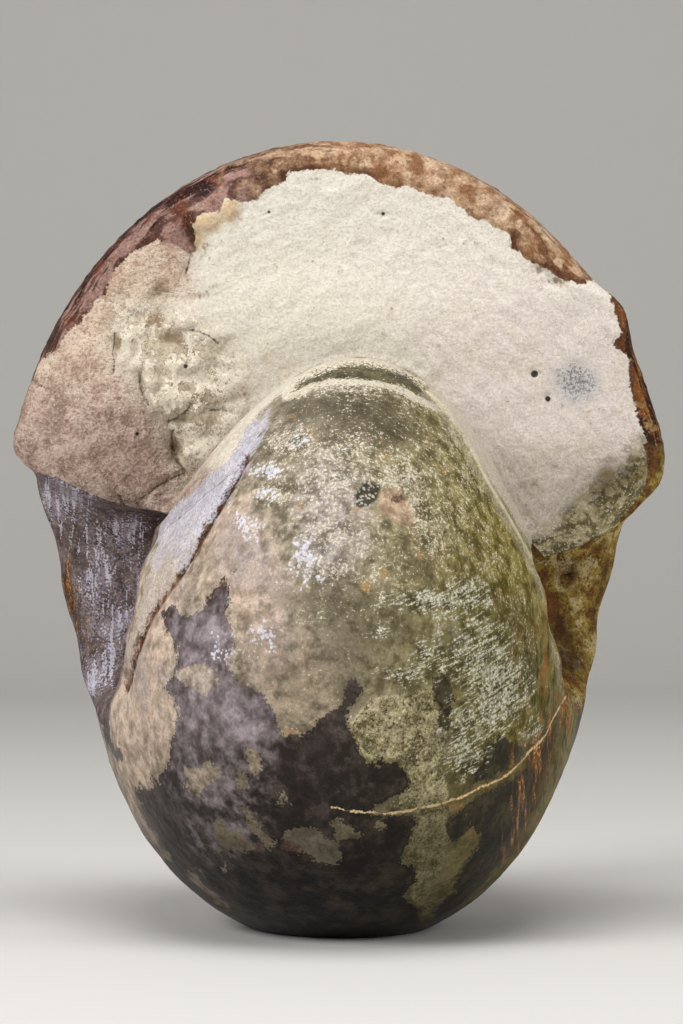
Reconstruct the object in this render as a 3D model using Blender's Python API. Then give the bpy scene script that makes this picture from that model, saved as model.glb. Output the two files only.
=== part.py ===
"""A swollen, deeply coiled ammonite fossil, preserved as one piece of stone.

The shell is a logarithmic spiral coiled about the X axis. Its last whorl ends in a crescent of bare
stone that faces the viewer (-Y) above the coil, and runs from there over the back, under the coil and
up the front, where the crescent rides on it. The fossil stands on a small flat in the whorl below.

Angles along the coil are in radians and grow with the shell: 0 is the broken end, above the coil
axis, and -2 pi is the same place one whorl earlier. Every length is in metres, +Z is up, and the
origin is the centre of the flat that the fossil rests on.
"""

import bmesh
import bpy
import numpy as np

MM = 0.001
TURN = 2 * np.pi

# The coil at its broken end, from which every earlier section shrinks
VENTER_RADIUS = 89.7 * MM  # from the coil axis to the outer side of the whorl
HALF_WIDTH = 63.1 * MM
SHOULDER_RADIUS_LEFT = 30.4 * MM  # from the coil axis to the edge of the umbilicus
SHOULDER_RADIUS_RIGHT = 28.0 * MM
WHORL_EXPANSION = 1.94  # growth of every size in one whole turn
INNER_WHORLS = 2  # turns that show inside the umbilicus, within the last one

# The outline of a section: 1 is an ellipse and 0 a parabola, which is a higher and narrower arch
FULLNESS_EARLY = 0.02
FULLNESS_LATE = 0.70
WALL_FULLNESS = 1.65  # exponent of the umbilical wall's rounded corner
WALL_FULLNESS_END = 2.85  # the same at the right of the broken end, where the corner is fuller
SEAM = np.radians(87.5)  # where on the arch the next whorl takes hold
EARLY_OFFSET = 3.4 * MM  # how far the crown of the inner arch sits to the right
UNDERSIDE_SWELL = 1.7 * MM  # the crown is fuller below, where the shell is half a turn old
UNEVENNESS = 0.45 * MM  # long, low waves all over the stone

# Low swellings along the edge of the umbilicus
SWELLINGS_PER_TURN = 9
SWELLING_HEIGHT = 0.45 * MM
SWELLING_AT_LEFT = np.radians(-88)
SWELLING_AT_RIGHT = np.radians(-77)
LEFT_FLANK_SWELL = 0.7 * MM
RIGHT_FLANK_DENT = 1.5 * MM

# A shallow groove down the front left flank, which runs into the umbilical edge
GROOVE_DEPTH = 0.9 * MM
GROOVE_WIDTH = np.radians(5)
GROOVE_START = np.radians(-49)  # across the arch, under the broken end
GROOVE_SLOPE = -0.26  # change of that angle with the angle along the coil
GROOVE_LENGTH = np.radians(108)

# The broken end
RIM_DEPTH = np.radians(7)  # how far back the worn rim starts
RIM_INSET_LEFT = 8.5 * MM
RIM_INSET_MIDDLE = 7.0 * MM
RIM_INSET_RIGHT = 6.8 * MM
LOBE_BULGE = 3.6 * MM  # the left lobe stands proud of the face
LOBE_CENTRE = (-44.0 * MM, 38.0 * MM)
LOBE_SPREAD = (17.0 * MM, 17.0 * MM)
FACE_HOLLOW = 2.6 * MM  # the middle of the face is worn back
FACE_CENTRE = (0.0 * MM, 68.0 * MM)
FACE_SPREAD = (34.0 * MM, 13.0 * MM)
CORNER_FALL = 6.0 * MM  # the lower right corner is broken away slantwise
CORNER_CENTRE = (59.0 * MM, 17.0 * MM)
CORNER_SPREAD = (15.0 * MM, 8.5 * MM)
BUMP_HEIGHT = 1.9 * MM  # a knob of stone on the right of the rim
BUMP_AT = np.radians(63)
BUMP_SPREAD = np.radians(6)
WEDGE_DROP = 8.2 * MM  # stone left in the right umbilicus under the broken end
WEDGE_REACH = 4.0 * MM  # and how far it comes forward
WEDGE_LENGTH = np.radians(28)
WEDGE_WIDTH = 0.62  # share of the umbilical wall that it covers

# Where the coil axis is, seen from the centre of the flat that the fossil stands on
AXIS_HEIGHT = 62.8 * MM
AXIS_FORWARD = 6.7 * MM

# Steps of the faceted surface
STEPS_PER_TURN = 60
ARCH_STEPS = 32
WALL_STEPS = 5
WALL_CROWDING = 1.7  # the wall's steps are closer together near the seam
FACE_STEPS = 9
WELD = 0.01 * MM


def smooth_step(value):
    """0 below 0, 1 above 1, and an even S between."""
    value = np.clip(value, 0, 1)
    return value * value * (3 - 2 * value)


def bell(value):
    return np.exp(-(value**2))


def growth(angle):
    """The size of the shell at an angle, against its size at the broken end."""
    return WHORL_EXPANSION ** (angle / TURN)


def fullness(angle):
    """The inner arch is high and narrow; it fills out in the half turn after it."""
    return FULLNESS_EARLY + (FULLNESS_LATE - FULLNESS_EARLY) * smooth_step((angle + TURN) / np.pi)


def shoulder_offset(angle, right):
    """Outward push of the umbilical edge: a row of swellings, and a dent in the right flank."""
    first = np.where(right, SWELLING_AT_RIGHT, SWELLING_AT_LEFT)
    swelling = SWELLING_HEIGHT * growth(angle) * np.cos(SWELLINGS_PER_TURN * (angle - first))
    flank = bell((angle + np.radians(85)) / np.radians(48))
    return swelling + flank * np.where(right, -RIGHT_FLANK_DENT, LEFT_FLANK_SWELL)


def relief(angle, across):
    """Small changes of the crown's radius: long waves, the groove, and the fuller underside."""
    waves = np.sin(2.3 * angle + 1.1) * np.cos(2.1 * across + 0.4)
    waves = waves + 0.6 * np.sin(5.1 * angle) * np.sin(3.3 * across - 0.8)
    start = angle + TURN
    off_groove = across - GROOVE_START - GROOVE_SLOPE * start
    groove = bell(off_groove / GROOVE_WIDTH) * smooth_step(start / 0.15)
    groove = groove * smooth_step((GROOVE_LENGTH - start) / 0.4)
    underside = bell((angle + np.pi) / np.radians(70)) * np.cos(across)
    return UNEVENNESS * waves * growth(angle) - GROOVE_DEPTH * groove + UNDERSIDE_SWELL * underside


def arch(angle, across):
    """A point of the outer side of a section, as its X and its distance from the coil axis.

    across is -90 degrees at the left umbilical edge, 0 on the crown and 90 degrees at the right.
    With c its cosine, the half-width is sqrt((1 - c) (1 + fullness c)) and the height is c.
    """
    right = across > 0
    crown = np.cos(across)
    shoulder = np.where(right, SHOULDER_RADIUS_RIGHT, SHOULDER_RADIUS_LEFT)
    spread = np.sin(across) * np.sqrt((1 + fullness(angle) * crown) / (1 + crown))
    x = HALF_WIDTH * spread * growth(angle)
    radius = (shoulder + (VENTER_RADIUS - shoulder) * crown) * growth(angle)
    lift = relief(angle, across) * smooth_step(crown / 0.25)
    x, radius = x + lift * np.sin(across), radius + lift * crown
    x = x + EARLY_OFFSET * (1 - smooth_step((angle + TURN) / np.radians(110))) * crown**0.5
    edge = bell((np.abs(across) - np.pi / 2) / np.radians(30))
    return x + np.sign(across) * shoulder_offset(angle, right) * edge, radius


def umbilical_wall(angle, along, side):
    """A point of the wall between the seam (along 0) and the umbilical edge (along 1).

    The wall is a quarter of a superellipse from the seam on the whorl inside, one turn earlier.
    """
    seam_x, seam_radius = arch(angle - TURN, side * SEAM)
    edge_x, edge_radius = arch(angle, side * np.pi / 2)
    at_end = smooth_step(1 + angle / WEDGE_LENGTH) * (side > 0)
    power = 2 / (WALL_FULLNESS + (WALL_FULLNESS_END - WALL_FULLNESS) * at_end)
    out = np.sin(along * np.pi / 2) ** power
    down = np.cos(along * np.pi / 2) ** power
    x = seam_x + (edge_x - seam_x) * out
    radius = edge_radius - (edge_radius - seam_radius) * down
    return x, radius - WEDGE_DROP * wedge(along) * at_end


def wedge(along):
    """The outline of the stone under the right of the broken end, across the umbilical wall."""
    return np.clip(1 - along / WEDGE_WIDTH, 0, 1) * smooth_step(along / 0.06)


def rim_inset(angle, across):
    """How far the worn rim draws in: a quarter of an ellipse over the last RIM_DEPTH of the whorl."""
    left = smooth_step((-across - np.radians(8)) / np.radians(25))
    right = smooth_step((across - np.radians(5)) / np.radians(20))
    inset = RIM_INSET_MIDDLE * (1 - left) * (1 - right) + RIM_INSET_LEFT * left + RIM_INSET_RIGHT * right
    inset = inset * (1 - 0.8 * bell((across - BUMP_AT) / BUMP_SPREAD))
    share = np.clip(1 + angle / RIM_DEPTH, 0, 1)
    return inset * (1 - np.sqrt(1 - share**2))


def rim_bump(angle, across):
    return BUMP_HEIGHT * bell((across - BUMP_AT) / BUMP_SPREAD) * smooth_step(1 + angle / np.radians(14))


def whorl_row(angle):
    """Every point across the whorl at one angle: left seam, wall, arch, wall, right seam."""
    along = np.linspace(0, 1, WALL_STEPS + 1) ** WALL_CROWDING
    left_x, left_radius = umbilical_wall(angle, along, -1)
    right_x, right_radius = umbilical_wall(angle, along[::-1], 1)
    across = np.linspace(-SEAM, SEAM, ARCH_STEPS + 1)
    arch_x, arch_radius = arch(angle, across)
    x = np.concatenate([left_x, arch_x, right_x])
    radius = np.concatenate([left_radius, arch_radius, right_radius])
    reach = np.concatenate([np.full(along.size, -np.pi / 2), across, np.full(along.size, np.pi / 2)])
    hold = np.concatenate([smooth_step(along), np.ones(across.size), smooth_step(along[::-1])])
    shift = (rim_bump(angle, reach) - rim_inset(angle, reach)) * hold
    points = on_coil(x + shift * np.sin(reach) * 0.8, radius + shift * np.cos(reach), angle)
    reach_forward = WEDGE_REACH * wedge(along[::-1]) * smooth_step(1 + angle / WEDGE_LENGTH)
    points[-along.size:, 1] -= reach_forward
    return points


def ribbon_row(angle, side):
    """The part of an inner whorl that shows in one umbilicus, from its seam to the next whorl's."""
    along = np.linspace(0, 1, WALL_STEPS + 1) ** WALL_CROWDING
    x, radius = umbilical_wall(angle, along, side)
    edge_x, edge_radius = arch(angle, side * SEAM)
    return np.append(x, edge_x), np.append(radius, edge_radius)


def on_coil(x, radius, angle):
    """Turns a section's point to its angle about the coil axis."""
    back = -radius * np.sin(angle) - AXIS_FORWARD
    return np.stack([x, back, radius * np.cos(angle) + AXIS_HEIGHT], axis=-1)


def patch_weight(points, centre, spread):
    across = (points[..., 0] - centre[0]) / spread[0]
    up = (points[..., 2] - AXIS_HEIGHT - centre[1]) / spread[1]
    return bell(np.sqrt(across**2 + up**2))


def broken_face(inner, outer):
    """The face of stone between the whorl inside (inner) and the rim (outer), as a grid."""
    steps = np.linspace(0, 1, FACE_STEPS + 1)[:, None, None]
    face = inner * (1 - steps) + outer * steps
    proud = LOBE_BULGE * patch_weight(face, LOBE_CENTRE, LOBE_SPREAD)
    proud -= FACE_HOLLOW * patch_weight(face, FACE_CENTRE, FACE_SPREAD)
    proud -= CORNER_FALL * patch_weight(face, CORNER_CENTRE, CORNER_SPREAD)
    inside = np.sin(steps[..., 0] * np.pi) ** 0.6
    face[..., 1] -= proud * inside
    return face


def add_grid(mesh, points):
    """Adds a grid of points and the quads between them."""
    verts = [[mesh.verts.new(point) for point in row] for row in points]
    for row, following in zip(verts[:-1], verts[1:]):
        for a, b, c, d in zip(row[:-1], row[1:], following[1:], following[:-1]):
            mesh.faces.new((a, b, c, d))


def fossil_surface():
    """The closed surface: last whorl, broken face, inner whorls, and a plug in each umbilicus."""
    mesh = bmesh.new()
    angles = np.linspace(-TURN, 0, STEPS_PER_TURN + 1)
    whorl = np.array([whorl_row(angle) for angle in angles])
    add_grid(mesh, whorl)

    wall = WALL_STEPS + 1
    inner = whorl[0].copy()
    inner[:wall] = inner[wall]
    inner[-wall:] = inner[-wall - 1]
    add_grid(mesh, broken_face(inner, whorl[-1]))

    earlier = np.linspace(-(1 + INNER_WHORLS) * TURN, -TURN, INNER_WHORLS * STEPS_PER_TURN + 1)
    for side in (-1, 1):
        add_grid(mesh, np.array([on_coil(*ribbon_row(angle, side), angle) for angle in earlier]))

    bmesh.ops.remove_doubles(mesh, verts=mesh.verts, dist=WELD)
    bmesh.ops.holes_fill(mesh, edges=[edge for edge in mesh.edges if edge.is_boundary], sides=0)
    bmesh.ops.recalc_face_normals(mesh, faces=mesh.faces)
    return mesh


def flatten_foot(mesh):
    """Cuts the bottom of the whorl off level at z = 0, and closes the cut."""
    everything = mesh.verts[:] + mesh.edges[:] + mesh.faces[:]
    cut = bmesh.ops.bisect_plane(
        mesh, geom=everything, plane_co=(0, 0, 0), plane_no=(0, 0, -1), dist=WELD, clear_outer=True
    )
    edges = [item for item in cut["geom_cut"] if isinstance(item, bmesh.types.BMEdge)]
    bmesh.ops.edgeloop_fill(mesh, edges=edges)
    bmesh.ops.recalc_face_normals(mesh, faces=mesh.faces)


def stone(name, colour, roughness):
    material = bpy.data.materials.new(name)
    material.use_nodes = True
    shader = material.node_tree.nodes["Principled BSDF"]
    shader.inputs["Base Color"].default_value = (*colour, 1)
    shader.inputs["Roughness"].default_value = roughness
    shader.inputs["Metallic"].default_value = 0.0
    return material


def make_fossil():
    surface = fossil_surface()
    flatten_foot(surface)
    bmesh.ops.triangulate(surface, faces=surface.faces)
    data = bpy.data.meshes.new("ammonite_fossil")
    surface.to_mesh(data)
    surface.free()
    data.shade_smooth()
    data.set_sharp_from_angle(angle=np.radians(35))
    data.materials.append(stone("fossil_limestone", (0.42, 0.36, 0.28), 0.55))
    fossil = bpy.data.objects.new("ammonite_fossil", data)
    bpy.context.scene.collection.objects.link(fossil)


def main():
    for item in list(bpy.data.objects):
        bpy.data.objects.remove(item)
    make_fossil()


main()
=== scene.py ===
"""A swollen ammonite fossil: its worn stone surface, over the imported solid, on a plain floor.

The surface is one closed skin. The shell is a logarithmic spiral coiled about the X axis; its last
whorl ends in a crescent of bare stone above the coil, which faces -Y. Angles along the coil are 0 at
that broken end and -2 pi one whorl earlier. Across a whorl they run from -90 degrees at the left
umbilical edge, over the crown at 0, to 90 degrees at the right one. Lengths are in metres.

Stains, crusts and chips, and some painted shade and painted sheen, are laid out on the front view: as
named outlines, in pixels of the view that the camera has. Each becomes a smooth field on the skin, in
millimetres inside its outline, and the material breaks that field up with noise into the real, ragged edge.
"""

import bpy
import numpy as np
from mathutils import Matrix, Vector


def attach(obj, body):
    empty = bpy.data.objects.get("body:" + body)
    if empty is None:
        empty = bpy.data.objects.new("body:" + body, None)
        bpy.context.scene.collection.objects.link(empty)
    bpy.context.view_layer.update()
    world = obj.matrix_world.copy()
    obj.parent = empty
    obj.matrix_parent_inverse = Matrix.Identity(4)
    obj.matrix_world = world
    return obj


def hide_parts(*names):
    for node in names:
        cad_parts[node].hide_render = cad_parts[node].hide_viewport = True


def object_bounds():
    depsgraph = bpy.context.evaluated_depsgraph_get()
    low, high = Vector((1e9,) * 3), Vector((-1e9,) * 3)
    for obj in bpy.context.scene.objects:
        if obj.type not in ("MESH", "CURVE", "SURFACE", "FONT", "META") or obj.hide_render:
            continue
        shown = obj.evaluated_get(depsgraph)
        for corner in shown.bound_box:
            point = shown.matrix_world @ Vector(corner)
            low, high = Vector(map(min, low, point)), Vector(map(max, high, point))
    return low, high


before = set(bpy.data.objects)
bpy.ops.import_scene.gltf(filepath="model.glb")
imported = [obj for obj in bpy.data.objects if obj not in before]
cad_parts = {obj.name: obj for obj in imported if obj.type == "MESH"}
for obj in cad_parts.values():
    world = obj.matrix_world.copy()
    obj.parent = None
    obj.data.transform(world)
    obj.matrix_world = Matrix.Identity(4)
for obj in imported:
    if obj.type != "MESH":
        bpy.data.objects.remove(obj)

bl_info = {
    "name": "Ammonite fossil",
    "version": (1, 0, 0),
    "blender": (4, 5, 0),
    "location": "3D View > Sidebar > Fossil",
    "description": "Makes the surface of a swollen ammonite fossil, and a stage for it",
    "category": "Add Mesh",
}

MM = 0.001
TURN = 2 * np.pi
CAD_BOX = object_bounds()
NODE = "ammonite_fossil"

# The camera: level, and so far off that a pixel of the view is 0.191 mm at the coil axis
VIEW_WIDTH, VIEW_HEIGHT = 683, 1024
VIEW_DISTANCE = 0.7
PIXEL = 0.191 * MM
AXIS_PIXEL = (340, 601)  # where the coil axis is in the view

# The shell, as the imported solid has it
INNER_WHORLS = 2
FULLNESS_EARLY, FULLNESS_LATE = 0.02, 0.70
WALL_FULLNESS, WALL_FULLNESS_END = 1.65, 2.85
SEAM = np.radians(87.5)
EARLY_OFFSET = 3.4 * MM
UNDERSIDE_SWELL = 1.7 * MM
UNEVENNESS = 0.45 * MM
SWELLINGS_PER_TURN = 9
SWELLING_HEIGHT = 0.45 * MM
SWELLING_AT_LEFT, SWELLING_AT_RIGHT = np.radians(-88), np.radians(-77)
LEFT_FLANK_SWELL, RIGHT_FLANK_DENT = 0.7 * MM, 1.5 * MM
RIM_DEPTH = np.radians(7)
LOBE_BULGE, LOBE_CENTRE, LOBE_SPREAD = 3.6 * MM, (-44 * MM, 38 * MM), (17 * MM, 17 * MM)
FACE_HOLLOW, FACE_CENTRE, FACE_SPREAD = 2.6 * MM, (0, 68 * MM), (34 * MM, 13 * MM)
CORNER_FALL, CORNER_CENTRE, CORNER_SPREAD = 6.0 * MM, (59 * MM, 17 * MM), (15 * MM, 8.5 * MM)
BUMP_HEIGHT, BUMP_AT, BUMP_SPREAD = 1.9 * MM, np.radians(63), np.radians(6)
WEDGE_DROP, WEDGE_REACH = 8.2 * MM, 4.0 * MM
WEDGE_LENGTH, WEDGE_WIDTH = np.radians(28), 0.62

# Steps of the fine surface: degrees along the coil, and counts across it
FRONT_STEP, BACK_STEP, END_STEP = 0.9, 2.1, 0.6
ARCH_STEPS, WALL_STEPS, FACE_STEPS = 150, 15, 94
WALL_CROWDING = 1.7

# The front whorl, in pixels of the view: outlines of what lies on it
DARK_SKIN = [
    (163, 612), (172, 606), (180, 616), (196, 612), (206, 600), (216, 588), (224, 578), (229, 590), (231, 612),
    (234, 640), (230, 662), (240, 680), (262, 692), (270, 707), (276, 726), (280, 735), (302, 737), (310, 727),
    (322, 716), (334, 712), (342, 694), (352, 680), (362, 692), (354, 706), (347, 724), (352, 736), (358, 751),
    (367, 762), (387, 761), (398, 759), (404, 770), (410, 783), (403, 792), (384, 803), (372, 810), (372, 816),
    (400, 815), (418, 817), (412, 830), (405, 846), (401, 860), (416, 863), (413, 885), (407, 897), (418, 907),
    (424, 928), (440, 930), (462, 905), (484, 880), (508, 850), (526, 820), (532, 780), (526, 764), (516, 774),
    (500, 786), (480, 796), (464, 808), (470, 826), (480, 838), (468, 860), (452, 888), (440, 902), (424, 930),
    (410, 975), (250, 975), (150, 930), (130, 860), (146, 826), (136, 804), (134, 784), (140, 790), (149, 791),
    (157, 785), (154, 775), (165, 770), (171, 760), (170, 740), (177, 730), (179, 705), (175, 697), (165, 687),
    (172, 677), (177, 665), (174, 637),
]
DARK_PATCHES = [
    [(486, 748), (500, 730), (514, 740), (521, 752), (512, 766), (494, 776), (476, 786), (470, 776)],
    [(99, 712), (106, 722), (113, 742), (119, 758), (113, 757), (104, 738)],
    [(436, 668), (446, 676), (452, 700), (448, 730), (440, 716), (434, 690)],
    [(448, 818), (462, 808), (470, 826), (456, 846), (448, 838)],
]
ISLANDS = [
    [(185, 667), (198, 662), (214, 666), (216, 682), (206, 694), (194, 690), (184, 682), (172, 672)],
    [(247, 752), (257, 748), (262, 760), (258, 776), (248, 768)],
    [(236, 768), (246, 770), (246, 784), (240, 786)],
    [(186, 768), (204, 766), (222, 766), (224, 778), (208, 782), (200, 796), (188, 784)],
    [(240, 806), (252, 810), (266, 830), (277, 846), (270, 850), (256, 834), (244, 818)],
    [(219, 816), (228, 826), (240, 828), (253, 848), (240, 850), (222, 846), (215, 832)],
    [(272, 788), (286, 788), (290, 802), (278, 804)],
    [(329, 822), (343, 818), (356, 832), (368, 835), (340, 838)],
    [(284, 834), (300, 830), (318, 829), (341, 842), (338, 860), (318, 866), (304, 854), (286, 846)],
    [(371, 821), (382, 818), (383, 830), (373, 832)],
    [(190, 868), (197, 872), (210, 887), (222, 900), (232, 907), (229, 910), (214, 901), (200, 889), (191, 877)],
    [(117, 756), (128, 772), (137, 796), (147, 820), (162, 846), (168, 858), (162, 860), (140, 826), (122, 790)],
    [(214, 850), (222, 852), (231, 868), (226, 870)],
]
CRUMBLED = [
    [
        (350, 722), (364, 706), (392, 694), (430, 688), (441, 716), (447, 744), (444, 760), (447, 780), (449, 800),
        (433, 806), (390, 811), (384, 803), (403, 792), (410, 783), (404, 770), (398, 759), (372, 763), (358, 751),
    ],
    [
        (404, 800), (436, 806), (446, 803), (447, 820), (446, 842), (444, 862), (440, 876), (431, 884), (428, 892),
        (437, 901), (430, 908), (418, 908), (407, 897), (413, 885), (416, 864), (402, 860), (406, 844), (414, 829),
        (420, 817),
    ],
]
# Painted shadow under the broken face's edge on the crown, as a dark olive strip over a small step
SHADOWED_LEDGE = [
    (288, 393), (301, 378), (320, 369), (344, 363), (362, 361), (381, 364), (409, 373), (428, 387), (440, 405),
    (419, 395), (402, 385), (380, 380), (355, 378), (330, 378), (312, 382), (296, 390),
]
LEFT_BAND = [
    (268, 410), (243, 430), (233, 448), (223, 462), (205, 477), (187, 492), (160, 512), (157, 540), (150, 564),
    (142, 596), (134, 630), (130, 668), (137, 648), (144, 626), (154, 608), (168, 588), (180, 568), (191, 551), (203, 527),
    (216, 508), (229, 490), (243, 472), (256, 448), (270, 420),
]
RUSTY = [
    [
        (521, 742), (536, 738), (546, 726), (556, 708), (564, 712), (562, 740), (552, 770), (541, 800), (528, 826),
        (518, 848), (508, 858), (505, 848), (514, 820), (519, 790), (521, 765),
    ],
    [
        (57, 541), (60, 553), (71, 566), (73, 584), (84, 606), (84, 627), (82, 641), (73, 622), (62, 604),
        (54, 584), (50, 559),
    ],
]
STROKE_SPOTS = [
    (430, 600, 44, 13, 1.0), (470, 590, 20, 16, 0.9), (404, 674, 26, 9, 0.9), (425, 654, 14, 14, 0.7),
    (455, 655, 26, 26, 0.6), (492, 668, 28, 36, 1.0), (512, 690, 20, 26, 0.9), (470, 720, 22, 30, 0.7),
    (466, 755, 18, 22, 0.95), (534, 734, 12, 14, 0.9), (480, 630, 22, 22, 0.55), (494, 712, 16, 20, 0.8),
    (440, 732, 8, 16, 0.5), (312, 618, 26, 10, 0.35), (380, 632, 18, 10, 0.4), (388, 566, 22, 8, 0.35),
]
PALE_SPOTS = [
    (342, 388, 60, 7, 0.95), (420, 400, 22, 12, 0.7), (450, 432, 18, 20, 0.6), (470, 470, 12, 26, 0.5),
    (350, 415, 74, 24, 0.22), (290, 442, 30, 18, 0.85), (345, 448, 30, 18, 0.62), (400, 452, 40, 20, 0.45),
    (330, 480, 44, 22, 0.8), (398, 478, 26, 12, 1.0), (416, 504, 12, 24, 0.9), (430, 540, 22, 24, 0.55),
    (272, 494, 22, 14, 0.8), (330, 530, 40, 30, 0.7), (330, 572, 30, 14, 0.8), (372, 540, 30, 22, 0.45),
    (450, 500, 40, 60, 0.42), (490, 560, 30, 60, 0.42), (524, 620, 18, 50, 0.30), (400, 580, 50, 16, 0.35),
    (350, 610, 50, 16, 0.2), (244, 648, 14, 18, 0.4), (380, 724, 24, 20, 0.4), (302, 732, 14, 5, 0.7),
]
CHALK_SPOTS = [
    (268, 470, 20, 7, 1.0), (298, 440, 12, 8, 0.7), (266, 494, 12, 8, 0.7), (240, 520, 11, 9, 0.85),
    (258, 526, 8, 8, 0.6), (252, 538, 7, 5, 0.7), (303, 556, 13, 20, 1.0), (318, 576, 14, 7, 0.8),
    (265, 634, 13, 15, 0.9), (216, 650, 14, 14, 0.6), (345, 448, 10, 6, 0.6), (226, 500, 8, 8, 0.4),
]
WARM_SPOTS = [
    (226, 520, 34, 30, 1.0), (240, 570, 48, 46, 0.95), (268, 640, 36, 50, 0.9), (140, 700, 46, 100, 1.0),
    (160, 600, 30, 40, 0.8), (396, 508, 16, 14, 0.9), (300, 700, 40, 30, 0.4), (200, 680, 20, 20, 0.7),
    (200, 778, 20, 14, 0.6), (252, 762, 10, 14, 0.5), (200, 885, 36, 30, 0.7), (140, 810, 20, 50, 0.7),
    (332, 650, 16, 8, 0.6), (378, 678, 12, 8, 0.6), (320, 668, 20, 14, 0.4),
]
# Pale lilac grey stone, and at the upper left of the dark skin a painted sheen
HAZE_AND_SHEEN_SPOTS = [
    (330, 500, 32, 44, 0.9), (335, 545, 40, 36, 0.7), (250, 556, 18, 16, 0.5), (225, 555, 16, 14, 0.4),
    (455, 640, 22, 22, 0.5), (215, 650, 22, 26, 0.7),
]
SHADE_SPOTS = [
    (354, 406, 52, 18, 0.95), (392, 430, 34, 18, 0.85), (300, 410, 22, 12, 0.7), (340, 434, 40, 12, 0.5),
    (262, 440, 12, 22, 0.6), (340, 600, 60, 16, 0.55), (352, 640, 36, 34, 0.6), (412, 560, 26, 18, 0.5),
    (402, 630, 26, 18, 0.5), (445, 690, 12, 36, 0.6), (350, 690, 16, 20, 0.8), (500, 610, 24, 34, 0.4),
    (530, 660, 24, 60, 0.5), (560, 720, 20, 60, 0.4), (393, 744, 6, 6, 0.8), (320, 845, 60, 30, 0.45),
    (500, 800, 60, 60, 0.5), (230, 840, 30, 26, 0.4), (407, 684, 12, 10, 0.7),
]
# Painted sheen: pale lilac spots on the dark skin where a softbox is reflected
PAINTED_SHEEN_SPOTS = [
    (214, 636, 30, 36, 1.0), (218, 700, 44, 40, 0.95), (240, 730, 34, 26, 0.7), (185, 640, 16, 30, 0.4),
    (215, 780, 44, 22, 0.5), (225, 830, 40, 30, 0.35), (190, 740, 16, 30, 0.4),
]
SCAR = [(376, 490), (396, 488), (406, 497), (416, 518), (414, 528), (398, 520), (382, 510)]
BLACK_SCAR = [(356, 492), (362, 484), (374, 481), (380, 488), (378, 498), (368, 503), (357, 503)]
DARK_SPOTS = [
    (398, 497, 6.5, 3.8), (234, 570, 1.8, 2.2), (223, 584, 4, 7), (287, 846, 7, 5), (297, 848, 5, 4),
    (209, 600, 3, 4), (306, 810, 1.6, 1.6), (258, 848, 4, 7), (370, 590, 1.5, 1.5),
]
OCHRE_SPOTS = [
    (293, 415, 3.4, 3), (312, 434, 2.4, 4), (383, 437, 2, 2), (382, 449, 2.6, 2), (388, 456, 2.6, 3),
    (301, 504, 3.6, 3.6), (356, 508, 3.6, 2.6), (443, 469, 3.2, 2.2), (415, 539, 3.6, 2.6), (420, 556, 4.2, 4.2),
    (384, 572, 5.4, 4.2), (366, 586, 5, 7), (452, 520, 2, 3), (474, 548, 2, 2), (500, 590, 3, 2),
    (470, 828, 9, 7), (455, 806, 12, 4), (293, 732, 12, 3),
]
GROOVE = [
    (246, 456), (240, 468), (232, 482), (222, 498), (213, 513), (205, 527), (197, 542), (189, 556), (180, 570),
    (171, 584), (160, 598), (151, 612), (144, 626), (138, 642), (133, 656), (129, 672), (124, 690),
]
SEAM_RIDGE = [
    (427, 392), (441, 408), (453, 426), (468, 450), (479, 471), (492, 493), (505, 516), (517, 537), (530, 560),
    (541, 584), (549, 606), (553, 630), (556, 655), (566, 690), (574, 706),
]
VEIN = [
    (332, 807), (338, 807), (344, 810), (352, 811), (358, 812), (370, 812), (382, 813), (390, 813), (404, 811),
    (409, 811), (420, 808), (430, 806), (438, 805), (449, 800), (459, 798), (470, 793), (480, 787), (487, 785),
    (500, 779), (508, 774), (517, 766), (523, 760), (530, 751), (536, 746), (546, 735), (551, 723), (557, 712),
    (565, 697),
]

# What of the inner whorl the broken end leaves free, in pixels of the view
FREE_WHORL = [
    (164, 517), (192, 493), (210, 478), (227, 463), (236, 449), (245, 433), (258, 415), (272, 402), (285, 391),
    (301, 377), (320, 368), (344, 362), (362, 360), (381, 363), (409, 372), (428, 386), (440, 401), (447, 416),
    (465, 444), (480, 466), (492, 485), (507, 509), (522, 536), (530, 550), (545, 584), (600, 640), (720, 700),
    (720, 1100), (-40, 1100), (-40, 640), (100, 600),
]

# The two hollows, in pixels of the view
HOLLOW_CHALK = [
    (66, 496, 28, 34, 0.9), (104, 556, 7, 36, 0.9), (128, 525, 13, 15, 1.0), (142, 574, 13, 26, 0.8),
    (92, 556, 6, 20, 0.5), (86, 592, 14, 22, 0.7), (110, 640, 10, 36, 1.0), (125, 616, 10, 12, 1.0),
    (93, 680, 12, 18, 1.3), (100, 600, 30, 50, 0.35), (578, 700, 6, 10, 0.8), (584, 640, 8, 30, 0.4),
]
# Painted shade under the left lobe and in the right umbilicus, and brown stains
HOLLOW_SHADE_AND_STAINS = [
    (150, 528, 22, 18, 0.9), (118, 600, 16, 30, 0.4), (562, 632, 12, 26, 0.9), (570, 662, 14, 12, 1.1),
    (568, 572, 14, 16, 0.8), (604, 566, 6, 40, 0.7), (594, 620, 5, 30, 0.5),
]
# Dark pits, and the last: a painted shadow at the bottom of the left umbilicus, over a dent
HOLES_AND_SHADOW = [
    (561, 559, 2.6, 3), (570, 561, 2.4, 3), (567, 570, 5, 3.4), (553, 575, 2.6, 2.4), (550, 583, 5.4, 3),
    (573, 575, 2.6, 2.6), (563, 587, 2, 2), (557, 566, 3, 2.4), (572, 566, 2, 2), (123, 652, 4.2, 11),
]

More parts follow.
